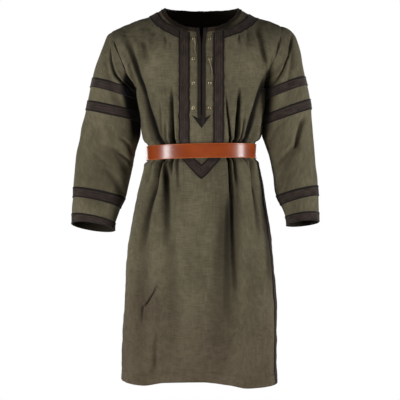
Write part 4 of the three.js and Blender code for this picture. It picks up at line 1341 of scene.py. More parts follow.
@dataclass(frozen=True)
class Cinch:
    """How the belt draws the cloth in: fully within one half-height, and not past the other."""

    depth: float = 7.5
    full: float = 21.5
    none: float = 32
    clear: float = 2.3

    def pull(self, body: Body, down: Array) -> Array:
        """The share of the full depth at a height."""
        return 1 - smooth(self.full, self.none, np.abs(down - body.belt_down))


class Panel:
    """The front or the back cloth of the body, with its folds, as a fine grid that places are read from."""

    COLUMNS = 301
    YOKE_ROWS = 110
    SKIRT_ROWS = 270
    # Distances down the yoke are measured along this place across, at so many points
    RUN_ACROSS = 0.6
    RUN_POINTS = 1600
    LEAST_RADIUS = 60
    RIM = 0.2
    # The unevenness: the radius that angles are measured at, the longest wave, the shortest and the
    # height of its two sets of waves, and their seeds
    AROUND_RADIUS = 150
    WAVES = ((130, 34, 1.2), (34, 12, 0.24))
    SEEDS = {Face.FRONT: (2, 22), Face.BACK: (5, 25)}
    # The cloth between the braid and the neck is painted darker with shade, and lies smooth near the neck
    NECK_SHADE_PAINT = 0.6
    SHOULDER_SHADE_PAINT = 0.2
    TONE_FROM_MIDDLE = (70, 105)
    TONE_FROM_BRAID = 3
    CLEAR_MIDDLE = (40, 28)
    CALM = 0.2
    CALM_DOWN = 70

    def __init__(self, body: Body, cinch: Cinch, face: Face) -> None:
        """Works out the grid."""
        self.body = body
        self.face = face
        across = np.linspace(*((1, -1) if face is Face.BACK else (-1, 1)), self.COLUMNS)
        self.fine = np.linspace(body.first, 1, self.RUN_POINTS)
        self.runs = along_line(body.form(face, np.full(self.fine.shape, self.RUN_ACROSS), self.fine)[0])
        yoke = self.even(body.first, self.YOKE_ROWS)
        self.levels = np.concatenate([yoke, np.linspace(1, 2, self.SKIRT_ROWS)[1:]])
        plain, angle, down = body.form(face, across[None], self.levels[:, None])
        normals = grid_normals(plain)
        radius = np.maximum(np.hypot(plain[..., 0], plain[..., 1]), self.LEAST_RADIUS)
        pull = cinch.pull(body, down)
        rim = self.RIM * (1 - pull)
        creases = BACK_CREASES if face is Face.BACK else FRONT_CREASES
        depth, shade_painted_in_folds = fold_depth(FOLDS, angle, down, radius, rim)
        crease, shade_painted_in_creases = crease_depth(creases, plain[..., 0], -plain[..., 2], rim)
        depth += crease
        around = angle * DEGREE * self.AROUND_RADIUS
        sets = zip(self.SEEDS[face], self.WAVES)
        uneven = sum(crumple(around, down, seed, *waves) for seed, waves in sets)
        uneven *= (1 - pull) * mix(self.CALM, 1, smooth(0, self.CALM_DOWN, down))
        points = plain - normals * (depth + uneven + cinch.depth * pull)[..., None]
        # Painted shade: the darkest of the folds', the creases' and the neck's
        tones = (shade_painted_in_folds, shade_painted_in_creases, self.shade_painted_by_neck(plain[..., 0], down))
        painted_shade = np.maximum.reduce(tones)
        self.grid = np.concatenate([points, grid_normals(points), painted_shade[..., None]], -1)

    def shade_painted_by_neck(self, x: Array, down: Array) -> Array:
        """How dark the shade painted on the cloth within the neck's braid is, but for the middle of the
        front.
        """
        tone = mix(self.NECK_SHADE_PAINT, self.SHOULDER_SHADE_PAINT, smooth(*self.TONE_FROM_MIDDLE, np.abs(x)))
        tone *= smooth(0, self.TONE_FROM_BRAID, BRAID_INNER.down(x, self.face) - down)
        tone *= np.abs(x) < BRAID_INNER.half(x)
        return tone * (1 - smooth(*self.CLEAR_MIDDLE, np.abs(x)) * (self.face is Face.FRONT))

    def even(self, low: Any, count: int) -> Array:
        """Levels from low to the armpits, at even distances down the cloth."""
        first = np.interp(low, self.fine, self.runs)
        share = np.linspace(0, 1, count)
        share = share if np.ndim(low) == 0 else share[:, None]
        return np.interp(mix(first, self.runs[-1], share), self.runs, self.fine)

    def at(self, across: Array, level: Array) -> Patch:
        """The cloth at places across and levels."""
        row = np.interp(level, self.levels, np.arange(len(self.levels)))
        turned = -across if self.face is Face.BACK else across
        column = (turned + 1) / 2 * (self.COLUMNS - 1)
        row, column = np.broadcast_arrays(row, column)
        found = cubic(self.grid, row, column, False)
        return Patch(found[..., :3], unit(found[..., 3:6]), np.clip(found[..., 6], 0, 1))

    def seen(self, x: Array, down: Array) -> Patch:
        """The cloth at places given in front view."""
        return self.at(*self.body.place(self.face, x, down))

    def neckline(self, across: Callable[[Array], Array], size: int) -> Array:
        """The level at which each column starts: the shoulder line, or the neckline inside the neck."""

        def past(level: Array) -> Array:
            """Whether a level lies below the neckline."""
            points, _, down = self.body.form(self.face, across(level), level)
            x = points[..., 0]
            return (down > NECK.down(x, self.face)) | (np.abs(x) >= self.body.neck)

        return halved(past, self.body.first, 1, (size,))


@dataclass(frozen=True)
class Slit:
    """The front opening: a narrow V at the neck that closes to a line."""

    half: float = 0.9
    mouth_half: float = 8
    mouth_start: float = 46
    mouth_end: float = 112
    end: float = 306

    def half_at(self, down: Array) -> Array:
        """Its half-width at a height."""
        share = np.clip((down - self.mouth_start) / (self.mouth_end - self.mouth_start), 0, 1)
        return mix(self.mouth_half, self.half, share)


def spread_columns(count: int, near: float, width: float, gain: float) -> Array:
    """Places from 0 to 1 that lie closer together near one place: equal steps of a bell-shaped density."""
    fine = np.linspace(0, 1, 2001)
    density = 1 + gain * np.exp(-(((fine - near) / width) ** 2))
    total = np.concatenate([[0], np.cumsum((density[1:] + density[:-1]) / 2)])
    return np.interp(np.linspace(0, total[-1], count), total, fine)


@dataclass(frozen=True)
class Cloth:
    """What both panels and the sleeves share: seams that sink in a little, and turned hems."""

    groove: float = 1.1
    groove_width: float = 3.2
    hem: float = 30
    hem_thick: float = 1.1
    hem_fade: float = 2
    stitch_depth: float = 1.0
    stitch_width: float = 2.2
    stitch_off: float = -0.1
    pucker_seed: int = 41
    pucker_longest: float = 26
    pucker_shortest: float = 9
    pucker_height: float = 0.3

    def seam(self, distance: Array) -> Array:
        """How far the cloth sinks at a distance from a seam: a bell."""
        return -self.groove * np.exp(-((distance / self.groove_width) ** 2))

    def turned(self, distance: Array, along: Array) -> Array:
        """How far a turned hem stands out at a distance from its edge.

        A soft step up at the stitch line, a bell-shaped dent along that line, and small puckers.
        """
        stands = self.hem_thick * (1 - smooth(self.hem - self.hem_fade, self.hem + self.hem_fade, distance))
        dent = -self.stitch_depth * np.exp(-(((distance - self.hem) / self.stitch_width) ** 2))
        waves = (self.pucker_longest, self.pucker_shortest, self.pucker_height)
        puckers = crumple(along, along * 0, self.pucker_seed, *waves)
        return stands + dent + puckers * np.exp(-(((distance - self.hem / 2) / self.hem) ** 2))


def edge_distance(points: Array, axis: int, last: bool) -> Array:
    """The distance of each grid place from the first or the last line of the grid, over the cloth."""
    steps = np.linalg.norm(np.diff(points, axis=axis), axis=-1)
    pad = ((1, 0), (0, 0)) if axis == 0 else ((0, 0), (1, 0))
    run = np.pad(np.cumsum(steps, axis=axis), pad)
    return np.take(run, [-1], axis=axis) - run if last else run


class Stitches:
    """Rows of sewing: small spindles of thread, joined into one mesh."""

    LENGTH = 3.0
    PITCH = 4.4
    # How far a stitch's middle rises and its ends sink, in radii and in millimetres
    RISE = 0.6
    SINK = 0.15
    # The lines of a braid's places that its two rows follow, and their distance over its face
    EDGE_LINES = (2, -3)
    OVER = 0.3

    def __init__(self, name: str, radius: float) -> None:
        """Starts an empty mesh of that name, for a thread of that radius."""
        self.name = name
        self.radius = radius
        self.rows: list[tuple[Array, Array]] = []

    def sew(self, patch: Patch, off: float, line: int, by_row: bool = False) -> None:
        """Sews along one column of a patch, or one row, a distance over its cloth."""
        pick = (line, slice(None)) if by_row else (slice(None), line)
        row = (patch.moved(off)[pick], patch.normals[pick])
        if patch.closed and by_row:
            row = (looped(row[0]), looped(row[1]))
        self.rows.append(row)

    def sew_edges(self, patch: Patch, by_row: bool = False) -> None:
        """Sews a braid down along both of its edges."""
        for line in self.EDGE_LINES:
            self.sew(patch, GAP + BRAID + self.OVER, line, by_row)

    def build(self) -> Piece:
        """The mesh: each stitch is a spindle of six points along its row."""
        points = []
        for line, normal in self.rows:
            run = along_line(line)
            count = max(2, int(run[-1] / self.PITCH))
            middle = (np.arange(count) + 0.5) / count * run[-1]

            def read(values: Array, at: Array) -> Array:
                """A line's values at distances along it."""
                return np.stack([np.interp(at, run, values[:, k]) for k in range(3)], -1)

            start = read(line, middle - self.LENGTH / 2)
            end = read(line, middle + self.LENGTH / 2)
            up = unit(read(normal, middle))
            side = unit(np.cross(end - start, up))
            centre = (start + end) / 2 + up * self.radius * self.RISE
            ring = [centre + self.radius * v for v in (side, up, -side, -up)]
            points.append(np.stack([start - up * self.SINK, *ring, end - up * self.SINK], 1))
        points = np.concatenate(points)
        spindle = [(0, k, k % 4 + 1) for k in range(1, 5)] + [(5, k % 4 + 1, k) for k in range(1, 5)]
        faces = (np.arange(len(points))[:, None, None] * 6 + np.array(spindle)[None]).reshape(-1, 3)
        # Each face gets the same small corner of the thread's map, a little further on
        corners = np.array([(0, 0), (0.0005, 0.001), (0.001, 0.001)])
        uv = np.tile(corners, (len(faces), 1)) + np.repeat(np.arange(len(faces)) * 0.0013, 3)[:, None]
        return mesh_piece(self.name, points.reshape(-1, 3), faces.tolist(), uv)


@dataclass(frozen=True)
class BodyCloth:
    """What the front and the back cloth share: sunk seams, the sewn hem, and the way they hang."""

    panel: Panel
    cloth: Cloth

    SKIRT_ROWS = 190

    def dress(
        self,
        patch: Patch,
        yoke_rows: int,
        middle: int,
        finishes: Finishes,
        stitches: Stitches,
        keep: Array | None = None,
    ) -> None:
        """Builds the cloth over its places.

        Args:
            patch: the places.
            yoke_rows: how many of its rows end at the armpits.
            middle: the column on which the hem's row of stitches is found.
            finishes: every finish.
            stitches: the hem's thread.
            keep: which cells are cloth, where some are open.
        """
        face = self.panel.face.value
        x = patch.points[..., 0]
        outer = self.cloth.seam(edge_distance(patch.points, 1, False))
        outer += self.cloth.seam(edge_distance(patch.points, 1, True))
        shoulder = np.abs(x[:1]) > self.panel.body.neck
        outer += np.where(shoulder, self.cloth.seam(edge_distance(patch.points, 0, False)), 0)
        from_hem = edge_distance(patch.points, 0, True)
        outer += self.cloth.turned(from_hem, x)
        row = int(np.argmin(np.abs(from_hem[:, middle] - self.cloth.hem)))
        stitches.sew(patch, self.cloth.stitch_off, row, by_row=True)
        LOG.info("%s cloth: %.3f square metres", face, patch.area())
        uv = patch.measured(yoke_rows - 1)
        piece = shell(f"{face}_cloth", patch, outer, outer - CLOTH, uv=uv, keep=keep)
        publish(piece, finishes.linen, f"{face}_panel")


@dataclass(frozen=True)
class Front(BodyCloth):
    """The front cloth, open at the neck and down the slit, with holes behind its eyelets."""

    slit: Slit
    eyelets: "Eyelets"
    hole: float = 3.1
    half_columns: int = 90
    yoke_rows: int = 72
    # Columns lie closer at the yoke's corner, and rows at the hem's stitches
    corner_width: float = 0.035
    hem_place: float = 0.965
    hem_width: float = 0.02
    gain: float = 2.4
    # Where the slit's edge is looked for, and at how many levels of the yoke and of the skirt
    search: tuple[float, float] = (-0.4, 0.6)
    search_rows: int = 60

    def slit_across(self, sign: int) -> Callable[[Array], Array]:
        """How far across the slit's edge, or the middle line below it, lies at a level, on one side."""
        body = self.panel.body
        spans = ((0.1, 1), (1.01, 2))
        levels = np.concatenate([np.linspace(*span, self.search_rows) for span in spans])

        def past(across: Array) -> Array:
            """Whether a place lies right of the edge."""
            points, _, down = body.form(Face.FRONT, across, levels)
            return points[..., 0] > sign * self.slit.half_at(down)

        edge = halved(past, *self.search, levels.shape)
        return lambda level: np.interp(level, levels, edge)

    def side(self, yoke: Yoke) -> Array:
        """Across and level of every place of one half, from the side seam to the slit."""
        corner = 1 - self.panel.body.neck / yoke.shoulder
        share = spread_columns(self.half_columns, corner, self.corner_width, self.gain)
        edge = self.slit_across(yoke.sign)

        def across(level: Array) -> Array:
            """The columns' places at a level."""
            return mix(yoke.sign, edge(level), share)

        top = self.panel.neckline(across, self.half_columns)
        low = 1 + spread_columns(self.SKIRT_ROWS, self.hem_place, self.hem_width, self.gain)[1:, None]
        low = np.repeat(low, self.half_columns, 1)
        level = np.concatenate([self.panel.even(top, self.yoke_rows), low])
        return np.stack([across(level), level])

    def build(self, finishes: Finishes, stitches: Stitches) -> None:
        """The cloth: two halves, with the slit and the eyelets' holes left open."""
        across, level = np.concatenate([self.side(LEFT), self.side(RIGHT)[:, :, ::-1]], -1)
        patch = self.panel.at(across, level)
        points = patch.points
        keep = np.ones((points.shape[0] - 1, points.shape[1] - 1), bool)
        middle = self.half_columns - 1
        keep[:, middle] = -points[1:, middle, 2] > self.slit.end
        centres = (points[1:, 1:] + points[:-1, :-1] + points[1:, :-1] + points[:-1, 1:]) / 4
        for sign in (-1, 1):
            for down in self.eyelets.downs:
                seat = self.eyelets.seat(sign, down).points[0]
                keep &= np.linalg.norm(centres - seat, axis=-1) > self.hole
        self.dress(patch, self.yoke_rows, middle, finishes, stitches, keep)


@dataclass(frozen=True)
class Back(BodyCloth):
    """The back cloth."""

    columns: int = 118
    yoke_rows: int = 84

    def build(self, finishes: Finishes, stitches: Stitches) -> None:
        """The cloth, from seam to seam."""
        across = np.linspace(1, -1, self.columns)
        top = self.panel.neckline(lambda level: across, self.columns)
        low = np.repeat(np.linspace(1, 2, self.SKIRT_ROWS)[1:, None], self.columns, 1)
        level = np.concatenate([self.panel.even(top, self.yoke_rows), low])
        patch = self.panel.at(np.broadcast_to(across, level.shape), level)
        self.dress(patch, self.yoke_rows, self.columns // 2, finishes, stitches)


@dataclass(frozen=True)
class Ribbon:
    """A strip of trim that is sewn flat on the cloth, with a section that is the same all along."""

    width: float
    thick: float = BRAID
    lip: float = 0.55
    lip_width: float = 3.2
    rib: float = 0.16
    ribs: int = 5
    wander: float = 0.55
    points: int = 23
    # The rounding of the edges, how the ribs fade in beside the lips, and how evenly the places lie
    edge_round: float = 0.9
    edge_height: float = 0.45
    rib_fade: float = 2
    evenness: float = 0.45

    def places(self) -> Array:
        """The places across, from 0 to 1, closer together at the two edges."""
        turn = np.linspace(0, math.pi, self.points)
        return mix((1 - np.cos(turn)) / 2, np.linspace(0, 1, self.points), self.evenness)

    def heights(self) -> Array:
        """The section's heights over the cloth: rounded edges, a corded lip on each, and ribs between."""
        across = self.places() * self.width
        edge = np.minimum(across, self.width - across)
        rounded = np.sqrt(np.clip(edge / self.edge_round, 0, 1))
        lip = self.lip * np.exp(-(((edge - self.lip_width / 2) / (self.lip_width / 2)) ** 2))
        ribs = self.rib * np.cos(2 * math.pi * self.ribs * across / self.width)
        ribs *= smooth(self.lip_width, self.lip_width + self.rib_fade, edge)
        return GAP + self.thick * mix(self.edge_height, 1, rounded) + (lip + ribs) * rounded

    def build(self, name: str, patch: Patch, by_row: bool = False) -> Piece:
        """The strip's mesh.

        Args:
            name: the piece's name.
            patch: its places, which run along it down the columns.
            by_row: whether they run along it on the rows instead.

        Returns:
            The object. Its map is metres across and along the strip.
        """
        heights = self.heights()
        across = self.places() * self.width * MM
        if by_row:
            line = patch.meeting()[self.points // 2]
            heights, across, along = heights[:, None], across[:, None], along_line(line)[None]
        else:
            line = patch.points[:, self.points // 2]
            heights, across, along = heights[None], across[None], along_line(line)[:, None]
        uv = np.stack(np.broadcast_arrays(across, along * MM), -1)
        return shell(name, patch, np.broadcast_to(heights, patch.points.shape[:2]), GAP / 2, uv=uv)


def lay(piece: Piece, finish: Finish, node: str, flat: tuple[float, float], *rests_on: str) -> None:
    """Publishes a strip of trim that is sewn flat on the cloth.

    Args:
        piece: the strip.
        finish: its finish.
        node: the frame's node that it stands for.
        flat: its flat width and length in metres. Not used.
        rests_on: the pieces that it lies on. Not used.
    """
    publish(piece, finish, node)


def wandering(count: int, seed: int, height: float, run: float) -> Array:
    """A slow unevenness along a strip, as millimetres to one side at each of its rows."""
    along = np.linspace(0, run, count)
    return crumple(along, along * 0, seed, *STRIP_WAVES, height)[:, None]


@dataclass(frozen=True)
class NeckBand:
    """A strip of trim between two ovals round the neck."""

    ribbon: Ribbon
    inner: Oval
    outer: Oval
    count: int = 110
    length: float = 300
    seam_gap: float = 0.02

    def place(self, turn: Array, share: Array, face: Face) -> tuple[Array, Array]:
        """The place in front view at a turn and a share of the way out."""
        x0, down0 = self.inner.point(turn, face)
        x1, down1 = self.outer.point(turn, face)
        return mix(x0, x1, share), mix(down0, down1, share)

    def turn_where(
        self, past: Callable[[Array, Array], Array], share: Array, face: Face, right: bool
    ) -> Array:
        """The turn at which the strip's lines, from one shoulder, come past a limit.

        Args:
            past: whether a place given in front view lies past the limit.
            share: each line's share of the way out.
            face: the front or the back.
            right: whether it starts from the right shoulder.

        Returns:
            The turn for each line.
        """

        def reached(turn: Array) -> Array:
            """Whether a turn from that shoulder lies past the limit."""
            return past(*self.place(math.pi - turn if right else turn, share, face))

        found = halved(reached, 0.0, math.pi / 2, share.shape)
        return math.pi - found if right else found

    def shoulder(self, panel: Panel, share: Array, right: bool) -> Array:
        """The turn at which each line meets the shoulder line."""

        def below(x: Array, down: Array) -> Array:
            """Whether a place lies below the shoulder line."""
            return down > panel.body.ridge(x, panel.face) + self.seam_gap

        return self.turn_where(below, share, panel.face, right)

    def patch(self, panel: Panel, share: Array, first: Array, last: Array, seed: int) -> Patch:
        """The strip's places.

        Args:
            panel: the cloth they lie on.
            share: each line's share of the way out.
            first, last: each line's first and last turn.
            seed: which unevenness its edges have.

        Returns:
            The places: rows run along the strip, and columns across it.
        """
        run = np.linspace(0, 1, self.count)[:, None]
        off = wandering(self.count, seed, self.ribbon.wander, self.length) / self.ribbon.width
        share = share[None] + off * np.sin(math.pi * run)
        return panel.seen(*self.place(mix(first[None], last[None], run), share, panel.face))


@dataclass(frozen=True)
class NeckTrim:
    """The narrow edging of the neck and the braid round it, in front and behind."""

    front: Panel
    back: Panel
    slit: Slit
    edging: NeckBand = NeckBand(
        Ribbon(12, thick=1.2, lip=0.9, lip_width=3.4, rib=0, points=11), NECK, NECK_EDGING
    )
    braid: NeckBand = NeckBand(Ribbon(29), BRAID_INNER, BRAID_OUTER)
    # How far from the slit the front's edging stops, how much nearer it comes at its outer edge, and how
    # far from the middle the front's braid stops
    edging_stop: float = 10.3
    edging_lean: float = 1.3
    braid_stop: float = 62.2

    # Each strip's kind, its side, the end of its node's name, its seed and its flat length
    STRIPS = (
        ("edging", "left", "front_left", 50, 0.14),
        ("braid", "left", "front_left", 51, 0.13),
        ("edging", "right", "front_right", 53, 0.14),
        ("braid", "right", "front_right", 54, 0.13),
        ("edging", "behind", "back", 60, 0.24),
        ("braid", "behind", "back", 61, 0.35),
    )

    def stop(self, kind: str, share: Array, right: bool) -> Array:
        """The turn at which each line of a front strip ends, beside the tape or the front's braid."""
        nearest = np.full(share.shape, self.braid_stop)
        if kind == "edging":
            nearest = self.slit.mouth_half + self.edging_stop - self.edging_lean * share
        band = getattr(self, kind)
        return band.turn_where(lambda x, down: np.abs(x) < nearest, share, Face.FRONT, right)

    def build(self, finishes: Finishes, thread: Stitches) -> None:
        """Every strip, in the table's order."""
        for kind, side, part, seed, length in self.STRIPS:
            band = getattr(self, kind)
            right = side == "right"
            if side == "behind":
                share = band.ribbon.places()
                ends = [band.shoulder(self.back, share, from_right) for from_right in (True, False)]
                patch = band.patch(self.back, share, *ends, seed)
                below = "back_cloth"
            else:
                share = 1 - band.ribbon.places()
                ends = [band.shoulder(self.front, share, right), self.stop(kind, share, right)]
                patch = band.patch(self.front, share, *(ends[::-1] if right else ends), seed)
                below = "front_cloth"
            piece = band.ribbon.build(f"neck_{kind}_{side}", flipped(patch))
            flat = (band.ribbon.width * MM, length)
            lay(piece, getattr(finishes, kind), f"neck_{kind}_{part}", flat, below)
            if kind == "braid":
                thread.sew_edges(patch)


def flipped(patch: Patch) -> Patch:
    """A patch with its columns turned round if they don't run left to right from outside."""
    down = patch.points[1, 1] - patch.points[0, 1]
    across = patch.points[1, 2] - patch.points[1, 1]
    if np.dot(np.cross(down, across), patch.normals[1, 1]) > 0:
        return patch
    return Patch(patch.points[:, ::-1], patch.normals[:, ::-1], patch.painted_shade[:, ::-1])


@dataclass(frozen=True)
class FrontBraid:
    """The braid down both sides of the slit, which turns in and meets in a point under the belt."""

    panel: Panel
    ribbon: Ribbon = Ribbon(30)
    inner: float = 32
    outer: float = 62
    inner_turn: float = 407
    outer_turn: float = 414
    inner_tip: float = 443
    outer_tip: float = 484
    tip_lift: float = 4
    tip_reach: float = 8
    seam_gap: float = 0.2
    length: float = 380
    straight_rows: int = 150
    point_rows: int = 34

    def patch(self, sign: int, seed: int) -> Patch:
        """The strip's places: straight down, then along a mitre to a rounded tip on the middle line."""
        share = self.ribbon.places()
        x = mix(self.inner, self.outer, share)
        top = BRAID_INNER.down(sign * x, Face.FRONT) + self.seam_gap
        turn = mix(self.inner_turn, self.outer_turn, share)
        tip = mix(self.inner_tip, self.outer_tip, share)
        run = np.linspace(0, 1, self.straight_rows)[:, None]
        bend = np.linspace(0, 1, self.point_rows)[1:, None]
        off = wandering(self.straight_rows, seed, self.ribbon.wander, self.length) * np.sin(math.pi * run)
        inward = mix(x[None], GAP / 2, bend)
        lift = self.tip_lift * np.exp(-((inward / self.tip_reach) ** 2))
        lowered = mix(turn[None], tip[None], bend) - lift
        xs = np.concatenate([x[None] + off, inward])
        downs = np.concatenate([mix(top[None], turn[None], run), lowered])
        return flipped(self.panel.seen(sign * xs, downs))

    def build(self, finishes: Finishes, thread: Stitches) -> None:
        """Both strips."""
        for sign, side in ((-1, "left"), (1, "right")):
            patch = self.patch(sign, 70 + sign)
            piece = self.ribbon.build(f"plastron_braid_{side}", patch)
            lay(piece, finishes.braid, f"front_braid_{side}", (0.03, 0.44), "front_cloth")
            thread.sew_edges(patch)


@dataclass(frozen=True)
class SlitTrim:
    """The dark tape on both edges of the slit, and the arrow-shaped patch that closes it."""

    panel: Panel
    slit: Slit
    ribbon: Ribbon = Ribbon(10, lip=0.35, lip_width=1.6, rib=0.1, ribs=2, points=13)
    rows: int = 100
    seam_gap: float = 0.2
    top_down: float = 60
    stitch_over: float = 0.1
    arrow_half: float = 25
    arrow_top: float = 306
    arrow_notch: float = 313
    arrow_tip: float = 340.4
    arrow_end: float = 306.4
    arrow_bevel: float = 3
    arrow_edge: float = 0.5
    arrow_crown: float = 0.25
    arrow_columns: int = 33
    arrow_rows: int = 17

    def build(self, finishes: Finishes, thread: Stitches) -> None:
        """The two tapes and the arrow."""
        share = self.ribbon.places()
        run = np.linspace(0, 1, self.rows)[:, None]
        for sign, side in ((-1, "left"), (1, "right")):
            x = self.slit.half_at(np.full(share.shape, self.top_down)) + self.ribbon.width * share
            top = NECK.down(x, Face.FRONT) + self.seam_gap
            down = mix(top[None], self.arrow_notch - GAP, run)
            x = self.slit.half_at(down) + self.ribbon.width * share
            patch = flipped(self.panel.seen(sign * x, down))
            piece = self.ribbon.build(f"slit_tape_{side}", patch)
            lay(piece, finishes.tape, f"slit_edging_{side}", (0.01, 0.25), "front_cloth")
            thread.sew(patch, GAP + BRAID + self.stitch_over, 1 if sign > 0 else -2)
        self.build_arrow(finishes)

    def build_arrow(self, finishes: Finishes) -> None:
        """The arrow: straight lines from its barbs and notch down to its tip."""
        columns = np.linspace(-1, 1, self.arrow_columns)
        notch = self.ribbon.width + self.slit.half
        x = columns * self.arrow_half
        barb = np.clip((np.abs(x) - notch) / (self.arrow_half - notch), 0, 1)
        top = mix(self.arrow_notch, self.arrow_top, barb)
        low = mix(self.arrow_tip, self.arrow_end, np.abs(columns))
        run = np.linspace(0, 1, self.arrow_rows)[:, None]
        down = mix(top[None], low[None], run)
        patch = self.panel.seen(np.broadcast_to(x, down.shape), down)
        from_edge = np.minimum(run, 1 - run) * (low - top)[None]
        edge = np.minimum(from_edge, self.arrow_bevel) / self.arrow_bevel
        rounded = np.sqrt(np.clip(edge, 0, 1))
        height = GAP + BRAID * mix(self.arrow_edge, 1, rounded) + self.arrow_crown * edge
        piece = shell("slit_patch", patch, height, GAP / 2)
        publish(piece, finishes.tape, "slit_arrow")


@dataclass(frozen=True)
class SideBraid:
    """The braid over the side seams of the skirt, half on each panel."""

    front: Panel
    back: Panel
    ribbon: Ribbon = Ribbon(24, lip_width=2.8, ribs=4)
    start: float = 401
    rows: int = 190
    length: float = 630
    # How much longer a quarter of the section is than one of a circle, and how far the cloths blend
    fullness: float = 1.15
    blend: float = 0.7

    def build(self, finishes: Finishes, thread: Stitches) -> None:
        """Both strips: each row reads the front and the back cloth on its own side of the seam."""
        body = self.front.body
        levels = np.linspace(1 + (self.start - body.armpit) / (body.hem - body.armpit), 2, self.rows)
        downs = body.armpit + (levels - 1) * (body.hem - body.armpit)
        share = self.ribbon.places()
        for sign, side in ((-1, "left"), (1, "right")):
            off = wandering(self.rows, 80 + sign, self.ribbon.wander, self.length)
            out = (share[None] - 0.5) * self.ribbon.width + off
            patches = []
            for panel in (self.front, self.back):
                quarter = 90 * DEGREE * SECTIONS.at(panel.face.value, downs) * self.fullness
                across = sign * (1 - np.abs(out) / quarter[:, None])
                patches.append(panel.at(across, np.broadcast_to(levels[:, None], across.shape)))
            ahead = smooth(-self.blend, self.blend, out if sign < 0 else -out)[..., None]
            points = mix(patches[1].points, patches[0].points, ahead)
            normals = unit(mix(patches[1].normals, patches[0].normals, ahead))
            patch = flipped(Patch(points, normals, points[..., 0] * 0))
            piece = self.ribbon.build(f"side_trim_{side}", patch)
            lay(piece, finishes.braid, f"side_braid_{side}", (0.024, 0.64), "front_cloth", "back_cloth")
            thread.sew_edges(patch)


